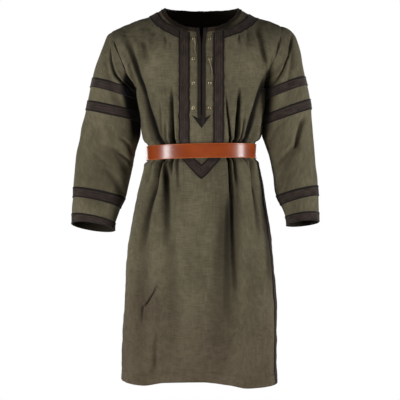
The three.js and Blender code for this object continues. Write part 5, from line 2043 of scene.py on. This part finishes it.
class Sleeve:
    """A sleeve from the armhole to the cuff, with its four rows of braid."""

    COLUMNS = 144
    ROWS = 260
    CLOTH_ROWS = 200
    # How much further in than its rings the sleeve is pressed, where that ends, and how far it stays off
    PRESS = 9
    PRESS_ENDS = (7.4, 8.6)
    CLEAR = 1.4
    # The unevenness: the radius that turns are measured at, the seeds, and the waves
    AROUND_RADIUS = 75
    SEEDS = {"left": 11, "right": 14}
    WAVES = (110, 30, 0.8)
    # Each band's first and last place, and its width
    BANDS = {"arm_1": (4, 5, 27), "arm_2": (6, 7, 29), "wrist": (10, 11, 29), "cuff": (12, 13, 27)}
    # The side next to the body lies in shade between these turns and places
    INNER_SIDE_TONE = 0.95
    SHADE_TURNS = {"left": (98, 118, 222, 250), "right": (92, 152, 222, 250)}
    SHADE_PLACES = (0.1, 1.8, 7.3, 8.6)
    SHADE_NARROWS = 9
    SHADE_FROM = 4.6
    # and a wedge of shade lies beside the front of the armhole seam
    WEDGE_TONE = 0.9
    WEDGE_TURNS = (40, 66)
    WEDGE_PLACES = (0.15, 1.1)

    def __init__(
        self, front: Panel, back: Panel, cloth: Cloth, yoke: Yoke, rings: Table, folds: Table
    ) -> None:
        """Works out the sleeve's fine grid.

        Args:
            front, back: the body's panels, which it is sewn to.
            cloth: how its seams sink in.
            yoke: its side of the yoke.
            rings, folds: the tables of its rings and of its folds.
        """
        self.cloth = cloth
        self.yoke = yoke
        self.name = "left" if yoke is LEFT else "right"
        self.rings = rings
        self.last = len(rings.rows) - 1
        turn = (-yoke.sign * 360 * np.arange(self.COLUMNS) / self.COLUMNS) % 360
        place = np.linspace(0, self.last, self.ROWS)[:, None]
        sin = np.sin(turn * DEGREE)[None]
        share = (1 - np.cos(turn * DEGREE))[None] / 2

        def size(name: str) -> Array:
            """A ring size at each place."""
            return rings.at(name, place)

        inward = smooth(0, 1, place) * (1 - smooth(*self.PRESS_ENDS, place)) * share**2
        pressed = -yoke.sign * self.PRESS * inward
        x = mix(size("out_x"), size("in_x"), share) + pressed
        y = size("y") - size("depth") * sin
        z = -mix(size("out_down"), size("in_down"), share) + size("lift") / 2 * sin
        plain = np.stack([x, y, z], -1)
        normals = grid_normals(plain, True)
        down = size("out_down") + 0 * sin
        depth, tone = fold_depth(folds, turn[None], down, size("depth"), Panel.RIM)
        depth += crumple(sin * self.AROUND_RADIUS + 0 * place, down, self.SEEDS[self.name], *self.WAVES)
        points = self.clear_of(front.body, plain - normals * depth[..., None])
        seam = self.armhole(front, back, turn, normals[0])
        points += (seam - points[0])[None] * ((1 - np.clip(place, 0, 1)) ** 2)[..., None]
        # Painted shade: the folds', and the shade beside the body and by the armhole seam
        painted_shade = np.maximum(tone, self.shaded(turn[None], place))
        self.grid = np.concatenate([points, grid_normals(points, True), painted_shade[..., None]], -1)

    def shaded(self, turn: Array, place: Array) -> Array:
        """How dark the shade beside the body is at a turn and a place: soft steps in and out."""
        a, b, c, d = self.SHADE_TURNS[self.name]
        e, f, g, h = self.SHADE_PLACES
        turn = turn - self.SHADE_NARROWS * np.maximum(0, place - self.SHADE_FROM) * (turn < 180)
        inside = 1 - smooth(c, d, turn)
        beside = smooth(a, b, turn) * inside * smooth(e, f, place) * (1 - smooth(g, h, place))
        wedge = smooth(*self.WEDGE_TURNS, turn) * inside * (1 - smooth(*self.WEDGE_PLACES, place))
        return np.maximum(self.INNER_SIDE_TONE * beside, self.WEDGE_TONE * wedge)

    def clear_of(self, body: Body, points: Array) -> Array:
        """The points pushed out of the body: no further in than its oval there and a little more.

        The oval's half-width at a depth y is width · (1 - |y / depth|^p)^(1 / p).
        """
        down = -points[..., 2]
        depth = np.where(points[..., 1] < 0, SECTIONS.at("front", down), SECTIONS.at("back", down))
        reach = np.clip(1 - np.abs(points[..., 1] / depth) ** body.power, 0, 1) ** (1 / body.power)
        least = SECTIONS.at(self.name, down) * reach + self.CLEAR
        out = points[..., 0] * self.yoke.sign
        points[..., 0] = self.yoke.sign * np.where(down > body.armpit, np.maximum(out, least), out)
        return points

    def armhole(self, front: Panel, back: Panel, turn: Array, normals: Array) -> Array:
        """The sleeve's first ring: both cloths' outer faces sink in at the seam, and meet at this edge."""
        level = np.maximum(np.where(turn < 180, turn, 360 - turn) / 180, front.body.first)
        side = np.full(turn.shape, float(self.yoke.sign))
        sunk = self.cloth.seam(np.zeros(turn.shape))
        edges = [panel.at(side, level).moved(sunk) for panel in (front, back)]
        return np.where((turn < 180)[:, None], edges[0], edges[1]) - normals * sunk[:, None]

    def at(self, place: Array, column: Array) -> Patch:
        """The sleeve at places along it and columns round it."""
        row = place / self.last * (self.ROWS - 1)
        row, column = np.broadcast_arrays(row, column)
        found = cubic(self.grid, row, column, True)
        return Patch(found[..., :3], unit(found[..., 3:6]), np.clip(found[..., 6], 0, 1), True)

    def build(self, finishes: Finishes, thread: Stitches) -> None:
        """The sleeve's cloth and its braids."""
        columns = np.arange(self.COLUMNS)[None]
        lengths = along_line(np.stack([self.rings.column(c) for c in ("out_x", "out_down")], -1))
        place = np.interp(np.linspace(0, lengths[-1], self.CLOTH_ROWS), lengths, np.arange(self.last + 1))
        patch = self.at(place[:, None], columns)
        outer = self.cloth.seam(edge_distance(patch.points, 0, False))
        cloth = f"sleeve_cloth_{self.name}"
        piece = shell(cloth, patch, outer, outer - CLOTH)
        publish(piece, finishes.linen, f"upper_sleeve_{self.name}", f"lower_sleeve_{self.name}")
        area = patch.area()
        LOG.info("sleeve cloth: %.3f square metres", area)
        for band, (first, last, width) in self.BANDS.items():
            ribbon = Ribbon(width)
            strip = self.at(mix(first, last, ribbon.places())[:, None], columns)
            piece = ribbon.build(f"sleeve_{self.name}_{band}", strip, by_row=True)
            girth = along_line(looped(strip.points[ribbon.points // 2]))[-1] * MM
            lay(piece, finishes.braid, f"sleeve_{self.name}_braid_{band}", (width * MM, girth), cloth)
            thread.sew_edges(strip, by_row=True)


@dataclass(frozen=True)
class Eyelets:
    """Brass eyelets on both sides of the slit, each with a rolled flange outside and a washer within."""

    panel: Panel
    x: float = 22
    downs: tuple[float, ...] = (94, 151, 218, 286)
    outer: float = 4.5
    bore: float = 2.2
    flange: float = 0.9
    curl: float = 0.8
    barrel: float = 0.5
    washer_top: float = 0.3
    washer_low: float = 0.9
    washer_inset: float = 0.4
    sides: int = 28
    # For the brass's map: metres round the eyelet, and millimetres round its section
    girth: float = 0.028
    run: float = 20

    def seat(self, sign: int, down: float) -> Patch:
        """The place on the cloth where an eyelet sits."""
        return self.panel.seen(np.array([sign * self.x]), np.array([down]))

    def section(self) -> Array:
        """The eyelet's closed section as radius and height: a rolled flange, a washer and a barrel."""
        turn = np.linspace(0, math.pi, 9)
        middle = (self.outer + self.bore) / 2
        half = (self.outer - self.bore) / 2
        flange = np.stack([middle + half * np.cos(turn), GAP + self.flange * np.sin(turn) ** self.curl], -1)
        top = -CLOTH - self.washer_top
        low = -CLOTH - self.washer_low
        rim = self.outer - self.washer_inset
        barrel = self.bore + self.barrel
        return np.array([*flange, (self.bore, low), (rim, low), (rim, top), (barrel, top), (barrel, GAP)])

    def build(self, finishes: Finishes) -> None:
        """Every eyelet: the section turned about the cloth's normal."""
        section = self.section()
        turn = 2 * math.pi * np.arange(self.sides) / self.sides
        around = np.arange(self.sides + 1) / self.sides * self.girth
        length = np.concatenate([along_line(section), [self.run]]) * MM
        uv = np.stack(np.broadcast_arrays(around[:, None], length[None]), -1)
        for sign, side in ((-1, "left"), (1, "right")):
            for number, down in enumerate(self.downs, 1):
                seat = self.seat(sign, down)
                normal = seat.normals[0]
                right = unit(np.cross(normal, UP))
                up = np.cross(right, normal)
                out = np.cos(turn)[:, None] * right + np.sin(turn)[:, None] * up
                rings = seat.points[0] + section[None, :, :1] * out[:, None] + section[None, :, 1:] * normal
                piece = loft(f"eyelet_ring_{side}_{number}", outward(rings), uv, ring=True)
                publish(piece, finishes.brass, f"eyelet_{side}_{number}")


def outward(rings: Array) -> Array:
    """Rings with each one's points turned round if their faces would point inwards."""
    a = rings - rings.mean(axis=(0, 1))
    b = np.roll(a, -1, axis=0)
    c = np.roll(a, -1, axis=1)
    d = np.roll(b, -1, axis=1)
    volume = (np.cross(a, b) * d).sum() + (np.cross(a, d) * c).sum()
    return rings if volume > 0 else rings[:, ::-1]


@dataclass(frozen=True)
class Lace:
    """A short end of cord that hangs from its eyelet on the cloth."""

    panel: Panel
    route: Table
    radius: float = 1.0
    end_area: float = 0.12
    sides: int = 14
    steps: int = 90

    def line(self) -> Array:
        """The middle line: the route's points over the cloth, joined by a Catmull-Rom curve."""
        patch = self.panel.seen(self.route.column("x"), self.route.column("down"))
        knots = patch.moved(self.route.column("off"))
        along = np.linspace(0, len(knots) - 1, self.steps)
        return cubic(knots[:, None].repeat(4, 1), along, along * 0 + 1, True)

    def build(self, name: str, node: str, finishes: Finishes) -> None:
        """The cord's mesh, rounded off at its free end."""
        line = self.line()
        run = along_line(line)
        from_end = np.clip((run[-1] - run) / self.radius, 0, 1)
        radii = self.radius * np.sqrt(np.maximum(1 - (1 - from_end) ** 2, self.end_area))
        side = np.broadcast_to(np.array([1.0, 0.0, 0.0]), line.shape)
        rings, uv = tube_rings(line, side, radii, self.sides)
        piece = loft(name, outward_tube(rings), uv)
        publish(piece, finishes.cord, node)


def outward_tube(rings: Array) -> Array:
    """Open rings along a line, with their points turned round if their faces would point inwards."""
    middle = rings.mean(axis=1, keepdims=True)
    down = (rings[1:] - rings[:-1])[:, :-1]
    across = (rings[:, 1:] - rings[:, :-1])[:-1]
    facing = (np.cross(down, across) * (rings - middle)[:-1, :-1]).sum()
    return rings if facing > 0 else rings[:, ::-1]


class Track:
    """The belt's inner face in plan, by distance along it from the buckle end."""

    SAMPLES = 1440

    def __init__(self, body: Body, cinch: Cinch, start: float) -> None:
        """Walks once round the body from an angle."""
        angle = start + np.linspace(0, 360, self.SAMPLES + 1)
        x, y = body.section(angle, np.full(angle.shape, body.belt_down))
        line = np.stack([x, y, x * 0], -1)
        tangent = np.gradient(line[:-1], axis=0)
        tangent[0] = line[1] - line[-2]
        tangent[-1] = line[-1] - line[-3]
        tangent = unit(np.concatenate([tangent, tangent[:1]]))
        normal = np.stack([tangent[:, 1], -tangent[:, 0], x * 0], -1)
        line = line + normal * (cinch.clear - cinch.depth)
        self.run = along_line(line)
        self.girth = float(self.run[-1])
        line[:, 2] = -body.belt_down - body.belt_shift(angle)
        self.values = np.concatenate([line, tangent, normal], -1)

    def at(self, distance: Array) -> tuple[Array, Array, Array]:
        """Point, tangent and outward normal at distances, past a whole turn too."""
        place = np.asarray(distance, float) % self.girth
        found = np.stack([np.interp(place, self.run, self.values[:, k]) for k in range(9)], -1)
        return found[..., :3], unit(found[..., 3:6]), unit(found[..., 6:])

    def laid(self, distance: float, off: float, local: Array) -> Array:
        """Points drawn flat against the belt, as along, up and outwards, and set a distance off it."""
        point, tangent, normal = self.at(np.array(distance))
        along, up, out = (local[..., k : k + 1] for k in range(3))
        return point + normal * off + along * tangent + up * UP + out * normal


def rounded_loop(width: float, height: float, radius: float, corner: int, straight: int) -> Array:
    """A rectangle with round corners about the origin, anticlockwise from the middle of its right side.

    Args:
        width, height: its size.
        radius: the corners' radius.
        corner, straight: how many points each corner has, and how many lie between two corners.

    Returns:
        The points: each corner, and then the straight side that follows it.
    """
    points = []
    for quarter, (sx, sy) in enumerate(((1, 1), (-1, 1), (-1, -1), (1, -1))):
        turn = (quarter + np.linspace(0, 1, corner)) * math.pi / 2
        centre = np.array([sx * (width / 2 - radius), sy * (height / 2 - radius)])
        arc = centre + radius * np.stack([np.cos(turn), np.sin(turn)], -1)
        upright = quarter % 2 == 1
        way = np.array([0.0, -sy] if upright else [-sx, 0.0])
        length = (height if upright else width) - 2 * radius
        points += [arc, arc[-1] + way * np.linspace(0, length, straight + 2)[1:-1, None]]
    return np.concatenate(points)


@dataclass(frozen=True)
class Buckle:
    """The buckle's tilted frame and its prong, with places along the belt from its start."""

    place: float = -1.5
    off: float = 0.4
    length: float = 32.5
    height: float = 52
    bar: float = 3.2
    corner: float = 6
    rise: float = 1.5
    tilt: float = 7.4
    sides: int = 14
    prong_along: tuple[float, float] = (-3.7, -34.5)
    prong_off: tuple[float, float] = (1.8, 10.6)
    prong_bow: float = 1.2
    prong_radius: float = 1.5
    tip_from: float = 0.93
    tip_length: float = 0.075
    prong_rows: int = 24
    prong_sides: int = 12

    def frame(self) -> tuple[Array, Array]:
        """The frame's rings, drawn flat against the belt and then tilted, and their metres."""
        loop = rounded_loop(self.length - self.bar, self.height - self.bar, self.corner, 9, 10)
        loop = np.stack([loop[:, 0] - self.length / 2, loop[:, 1], loop[:, 0] * 0 + self.rise], -1)
        closed = np.concatenate([loop[-2:], loop, loop[:2]])
        rings, uv = tube_rings(closed, np.broadcast_to(UP, closed.shape), self.bar / 2, self.sides)
        rings, uv = rings[2:-2], uv[2:-1]
        cos, sin = math.cos(self.tilt * DEGREE), math.sin(self.tilt * DEGREE)
        along, up, out = np.moveaxis(rings, -1, 0)
        return np.stack([along * cos + out * sin, up, -along * sin + out * cos], -1), uv

    def build(self, track: Track, finishes: Finishes) -> None:
        """The frame and the prong, laid on the belt."""
        rings, uv = self.frame()
        piece = loft("buckle", outward(track.laid(self.place, self.off, rings)), uv, ring=True)
        publish(piece, finishes.brass, "belt_buckle")

        run = np.linspace(0, 1, self.prong_rows)
        off = mix(*self.prong_off, run) + self.prong_bow * np.sin(math.pi * run)
        line = track.laid(self.place, 0, np.stack([mix(*self.prong_along, run), run * 0, off], -1))
        past = (run - self.tip_from).clip(0) / self.tip_length
        radii = self.prong_radius * np.sqrt(np.clip(1 - past**2, 0.1, 1))
        rings, uv = tube_rings(line, np.broadcast_to(UP, line.shape), radii, self.prong_sides)
        piece = loft("buckle_prong", outward_tube(rings), uv)
        publish(piece, finishes.brass, "belt_prong")


@dataclass(frozen=True)
class Keeper:
    """The loop of leather round the strap and its tail."""

    place: float = 51
    half: float = 6
    room: float = 1.2
    corner: float = 1.2
    inner: float = 0.05
    crown: float = 1.0
    edge_drop: float = 0.35
    edge_power: float = 6
    map_middle: float = 0.02
    rows: int = 7

    def build(self, track: Track, height: float, stack: float, finishes: Finishes) -> None:
        """The loop, drawn flat against the belt round a height and the thickness of both layers."""
        inside = rounded_loop(height + self.room, stack + self.room, self.corner, 5, 12)
        width = np.linspace(-self.half, self.half, self.rows)
        across = np.broadcast_to(width[:, None, None], (self.rows, len(inside), 1))
        local = np.concatenate([across, np.broadcast_to(inside, (self.rows, *inside.shape))], -1)
        points = track.laid(self.place, stack / 2, local)
        if ((points - points.mean(axis=(0, 1))) * grid_normals(points, True)).sum() < 0:
            points = points[:, ::-1]
        patch = Patch(points, grid_normals(points, True), points[..., 0] * 0, True)
        around = along_line(looped(inside))[None] * MM
        uv = np.stack(np.broadcast_arrays(width[:, None] * MM + self.map_middle, around), -1)
        crown = self.crown - self.edge_drop * (np.abs(width) / self.half) ** self.edge_power
        outer = np.broadcast_to(crown[:, None], points.shape[:2])
        publish(shell("keeper", patch, outer, self.inner, uv=uv), finishes.leather, "belt_keeper")


@dataclass(frozen=True)
class Belt:
    """The leather belt: once round and on over its own start, with its holes, buckle and keeper."""

    track: Track
    height: float = 40
    corner: float = 1.2
    edge_share: float = 0.35
    line_depth: float = 0.28
    line_width: float = 0.7
    line_from_edge: float = 2.6
    rise_from: float = -32
    rise_to: float = -6
    tail: float = 118
    lift: float = 4.6
    point: float = 15
    taper: float = 0.9
    tip_rows: int = 24
    tip_cut: float = 0.05
    rows: int = 660
    # The holes and the prong's slot: their places along the strap, their sizes, and how the bodies that
    # cut them lie
    holes: int = 4
    hole_first: float = 18
    hole_pitch: float = 22
    hole_radius: float = 2.2
    hole_off: float = 4
    hole_depth: float = 8
    hole_sides: int = 20
    slot_place: float = -13.5
    slot_length: float = 21
    slot_height: float = 4
    slot_depth: float = 24

    def strap_rings(self) -> tuple[Array, Array]:
        """The strap's rings and their metres: a spiral whose tail rises over the buckle end."""
        end = self.track.girth + self.tail
        distance = np.linspace(0, end, self.rows)
        fine = np.linspace(end - self.point, end - self.tip_cut, self.tip_rows)
        distance = np.unique(np.concatenate([distance[distance < fine[0]], fine]))
        point, _, normal = self.track.at(distance)
        off = self.lift * smooth(self.rise_from, self.rise_to, distance - self.track.girth)
        past = np.maximum(0, distance - end + self.point) / self.point
        scale = np.sqrt(1 - self.taper * past**2)
        outline = self.outline()
        rings = point[:, None] + normal[:, None] * (outline[None, :, 1:] + off[:, None, None])
        rings = rings + UP * (outline[None, :, :1] * scale[:, None, None])
        across = looped(outline[:, 0]) + self.height / 2
        return rings, np.stack(np.broadcast_arrays(across[None] * MM, distance[:, None] * MM), -1)

    def outline(self) -> Array:
        """The section's points: both faces divided finely enough for the pressed lines."""
        half = self.height / 2
        edge = np.array([0.0, 0.5, 1.2, 1.8, 2.6, 3.4, 4.2])
        up = np.concatenate([edge - half, np.linspace(-14, 14, 9), (half - edge)[::-1]])
        inset = half - np.abs(up)
        rounding = np.sqrt(np.clip(1 - ((self.corner - inset) / self.corner).clip(0, 1) ** 2, 0, 1))
        line = self.line_depth * np.exp(-(((inset - self.line_from_edge) / self.line_width) ** 2))
        swell = LEATHER / 2 * mix(self.edge_share, 1, rounding)
        face = np.stack([up, LEATHER / 2 + swell - line], -1)
        back = np.stack([up, LEATHER / 2 - swell], -1)
        return np.concatenate([face, back[::-1]])

    def cutter(self, distance: float, off: float, outline: Array, depth: float) -> Piece:
        """A body that cuts an outline through the strap.

        Args:
            distance, off: its middle, along the strap and out from it.
            outline: its points, along the strap and up.
            depth: how deep it is.

        Returns:
            The body.
        """
        flat = np.concatenate([outline, np.zeros((len(outline), 1))], 1)
        ends = np.array([[0, 0, -depth / 2], [0, 0, depth / 2]])
        rings = self.track.laid(distance, off, flat[None] + ends[:, None])
        return loft("cutter", outward_tube(rings), np.zeros((2, len(outline) + 1, 2)))

    def build(self, finishes: Finishes) -> None:
        """The strap, with its holes and the prong's slot cut through, and its buckle and keeper."""
        rings, uv = self.strap_rings()
        piece = loft("strap", outward_tube(rings), uv)
        turn = 2 * math.pi * np.arange(self.hole_sides) / self.hole_sides
        circle = np.stack([self.hole_radius * np.cos(turn), self.hole_radius * np.sin(turn)], -1)
        places = [self.hole_first + self.hole_pitch * number for number in range(self.holes)]
        off = self.lift + self.hole_off
        cutters = [self.cutter(place, off, circle, self.hole_depth) for place in places]
        slot = np.array([[-1, -1], [1, -1], [1, 1], [-1, 1]]) / 2 * (self.slot_length, self.slot_height)
        cutters.append(self.cutter(self.slot_place, 0, slot, self.slot_depth))
        carve(piece, cutters)
        publish(piece, finishes.leather, "belt_strap")
        Buckle().build(self.track, finishes)
        Keeper().build(self.track, self.height, LEATHER + self.lift, finishes)


def carve(piece: Piece, cutters: Sequence[Piece]) -> None:
    """Cuts bodies out of a piece, and removes them."""
    for cutter in cutters:
        cut = piece.modifiers.new("cut", "BOOLEAN")
        cut.operation = "DIFFERENCE"
        cut.object = cutter
        cut.solver = "EXACT"
    graph = bpy.context.evaluated_depsgraph_get()
    made = bpy.data.meshes.new_from_object(piece.evaluated_get(graph))
    piece.modifiers.clear()
    piece.data = made
    for cutter in cutters:
        bpy.data.objects.remove(cutter)


@dataclass(frozen=True)
class Studio:
    """Camera, soft lights, a white surround and a pale floor far below."""

    distance: float = 4.1
    width: float = 1.12
    aim: tuple[float, float] = (-0.004, -0.536)
    floor: float = -1.5
    reach: float = 2.6
    ambient: float = 0.05
    sensor: float = 36

    # Each soft box's name, turn, distance and height, its own width and height, and its power
    LAMPS = (
        ("key_left", -53, 2.1, -0.6, (0.5, 1.2), 38),
        ("key_right", 65, 2.1, -0.6, (0.5, 1.2), 36),
        ("front", 4, 3.6, -0.3, (1.0, 1.0), 10),
        ("rear_left", -148, 3.2, 0.2, (1.4, 1.6), 24),
        ("rear_right", 152, 3.2, 0.2, (1.4, 1.6), 24),
    )

    def camera(self) -> None:
        """A level camera in front, whose view is as wide as the picture at the tunic's middle."""
        data = bpy.data.cameras.new("camera")
        data.sensor_width = self.sensor
        data.lens = self.sensor * self.distance / self.width
        made = bpy.data.objects.new("camera", data)
        made.location = (self.aim[0], -self.distance, self.aim[1])
        made.rotation_euler = (math.pi / 2, 0, 0)
        bpy.context.scene.collection.objects.link(made)
        bpy.context.scene.camera = made

    def lamp(
        self,
        name: str,
        azimuth: float,
        away: float,
        height: float,
        size: tuple[float, float],
        power: float,
    ) -> None:
        """A soft box that faces the tunic's middle.

        Args:
            name: its name.
            azimuth: degrees round from the camera towards the viewer's right.
            away, height: metres from the tunic's middle line, and over the origin.
            size: its width and height in metres.
            power: its power in watts.
        """
        data = bpy.data.lights.new(name, "AREA")
        data.shape = "RECTANGLE"
        data.size, data.size_y = size
        data.energy = power
        made = bpy.data.objects.new(name, data)
        turn = azimuth * DEGREE
        made.location = (away * math.sin(turn), -away * math.cos(turn), height)
        towards = Vector((0, 0, self.aim[1])) - made.location
        made.rotation_euler = towards.to_track_quat("-Z", "Y").to_euler()
        made.visible_glossy = name != "front"
        bpy.context.scene.collection.objects.link(made)

    def surround(self) -> None:
        """A surround that is white to the camera and gives a little light."""
        world = bpy.data.worlds.new("surround")
        bpy.context.scene.world = world
        world.use_nodes = True
        nodes, links = world.node_tree.nodes, world.node_tree.links
        background = nodes["Background"]
        background.inputs["Color"].default_value = (1, 1, 1, 1)
        seen = nodes.new("ShaderNodeLightPath")
        strength = nodes.new("ShaderNodeMapRange")
        strength.inputs["To Min"].default_value = self.ambient
        strength.inputs["To Max"].default_value = 1.0
        links.new(seen.outputs["Is Camera Ray"], strength.inputs["Value"])
        links.new(strength.outputs[0], background.inputs["Strength"])

    def build(self) -> None:
        """Lights, surround and floor."""
        for lamp in self.LAMPS:
            self.lamp(*lamp)
        self.surround()
        corners = np.array([[0, 0], [1, 0], [1, 1], [0, 1]])
        points = np.concatenate([(2 * corners - 1) * self.reach, np.full((4, 1), self.floor)], 1)
        piece = mesh_piece("floor", points / MM, [[0, 1, 2, 3]], corners)
        shader = Shader("pale_floor")
        piece.data.materials.append(shader.finish(Base_Color=(0.8, 0.8, 0.79, 1), Roughness=0.8))
        scene = bpy.context.scene
        scene.view_settings.view_transform = "Standard"
        scene.view_settings.look = "None"


def main() -> None:
    """Builds the tunic's pieces in order: the camera and the laces first."""
    logging.basicConfig(level=logging.INFO, format="%(message)s")
    studio = Studio()
    studio.camera()
    finishes = Finishes()
    body = Body()
    cinch = Cinch()
    cloth = Cloth()
    slit = Slit()
    front = Panel(body, cinch, Face.FRONT)
    back = Panel(body, cinch, Face.BACK)
    Lace(front, LEFT_LACE).build("lace_cord_left", "lace_left", finishes)
    Lace(front, RIGHT_LACE).build("lace_cord_right", "lace_right", finishes)

    thread = Stitches("braid_stitching", 0.34)
    hem_thread = Stitches("hem_stitching", 0.6)
    eyelets = Eyelets(front)
    Front(front, cloth, slit, eyelets).build(finishes, hem_thread)
    Back(back, cloth).build(finishes, hem_thread)
    eyelets.build(finishes)
    NeckTrim(front, back, slit).build(finishes, thread)
    FrontBraid(front).build(finishes, thread)
    SlitTrim(front, slit).build(finishes, thread)
    SideBraid(front, back).build(finishes, thread)
    Sleeve(front, back, cloth, LEFT, LEFT_RINGS, LEFT_SLEEVE_FOLDS).build(finishes, thread)
    Sleeve(front, back, cloth, RIGHT, RIGHT_RINGS, RIGHT_SLEEVE_FOLDS).build(finishes, thread)
    Belt(Track(body, cinch, 172)).build(finishes)
    publish(thread.build(), finishes.dark_thread)
    publish(hem_thread.build(), finishes.olive_thread)
    studio.build()


if __name__ == "__main__":
    main()
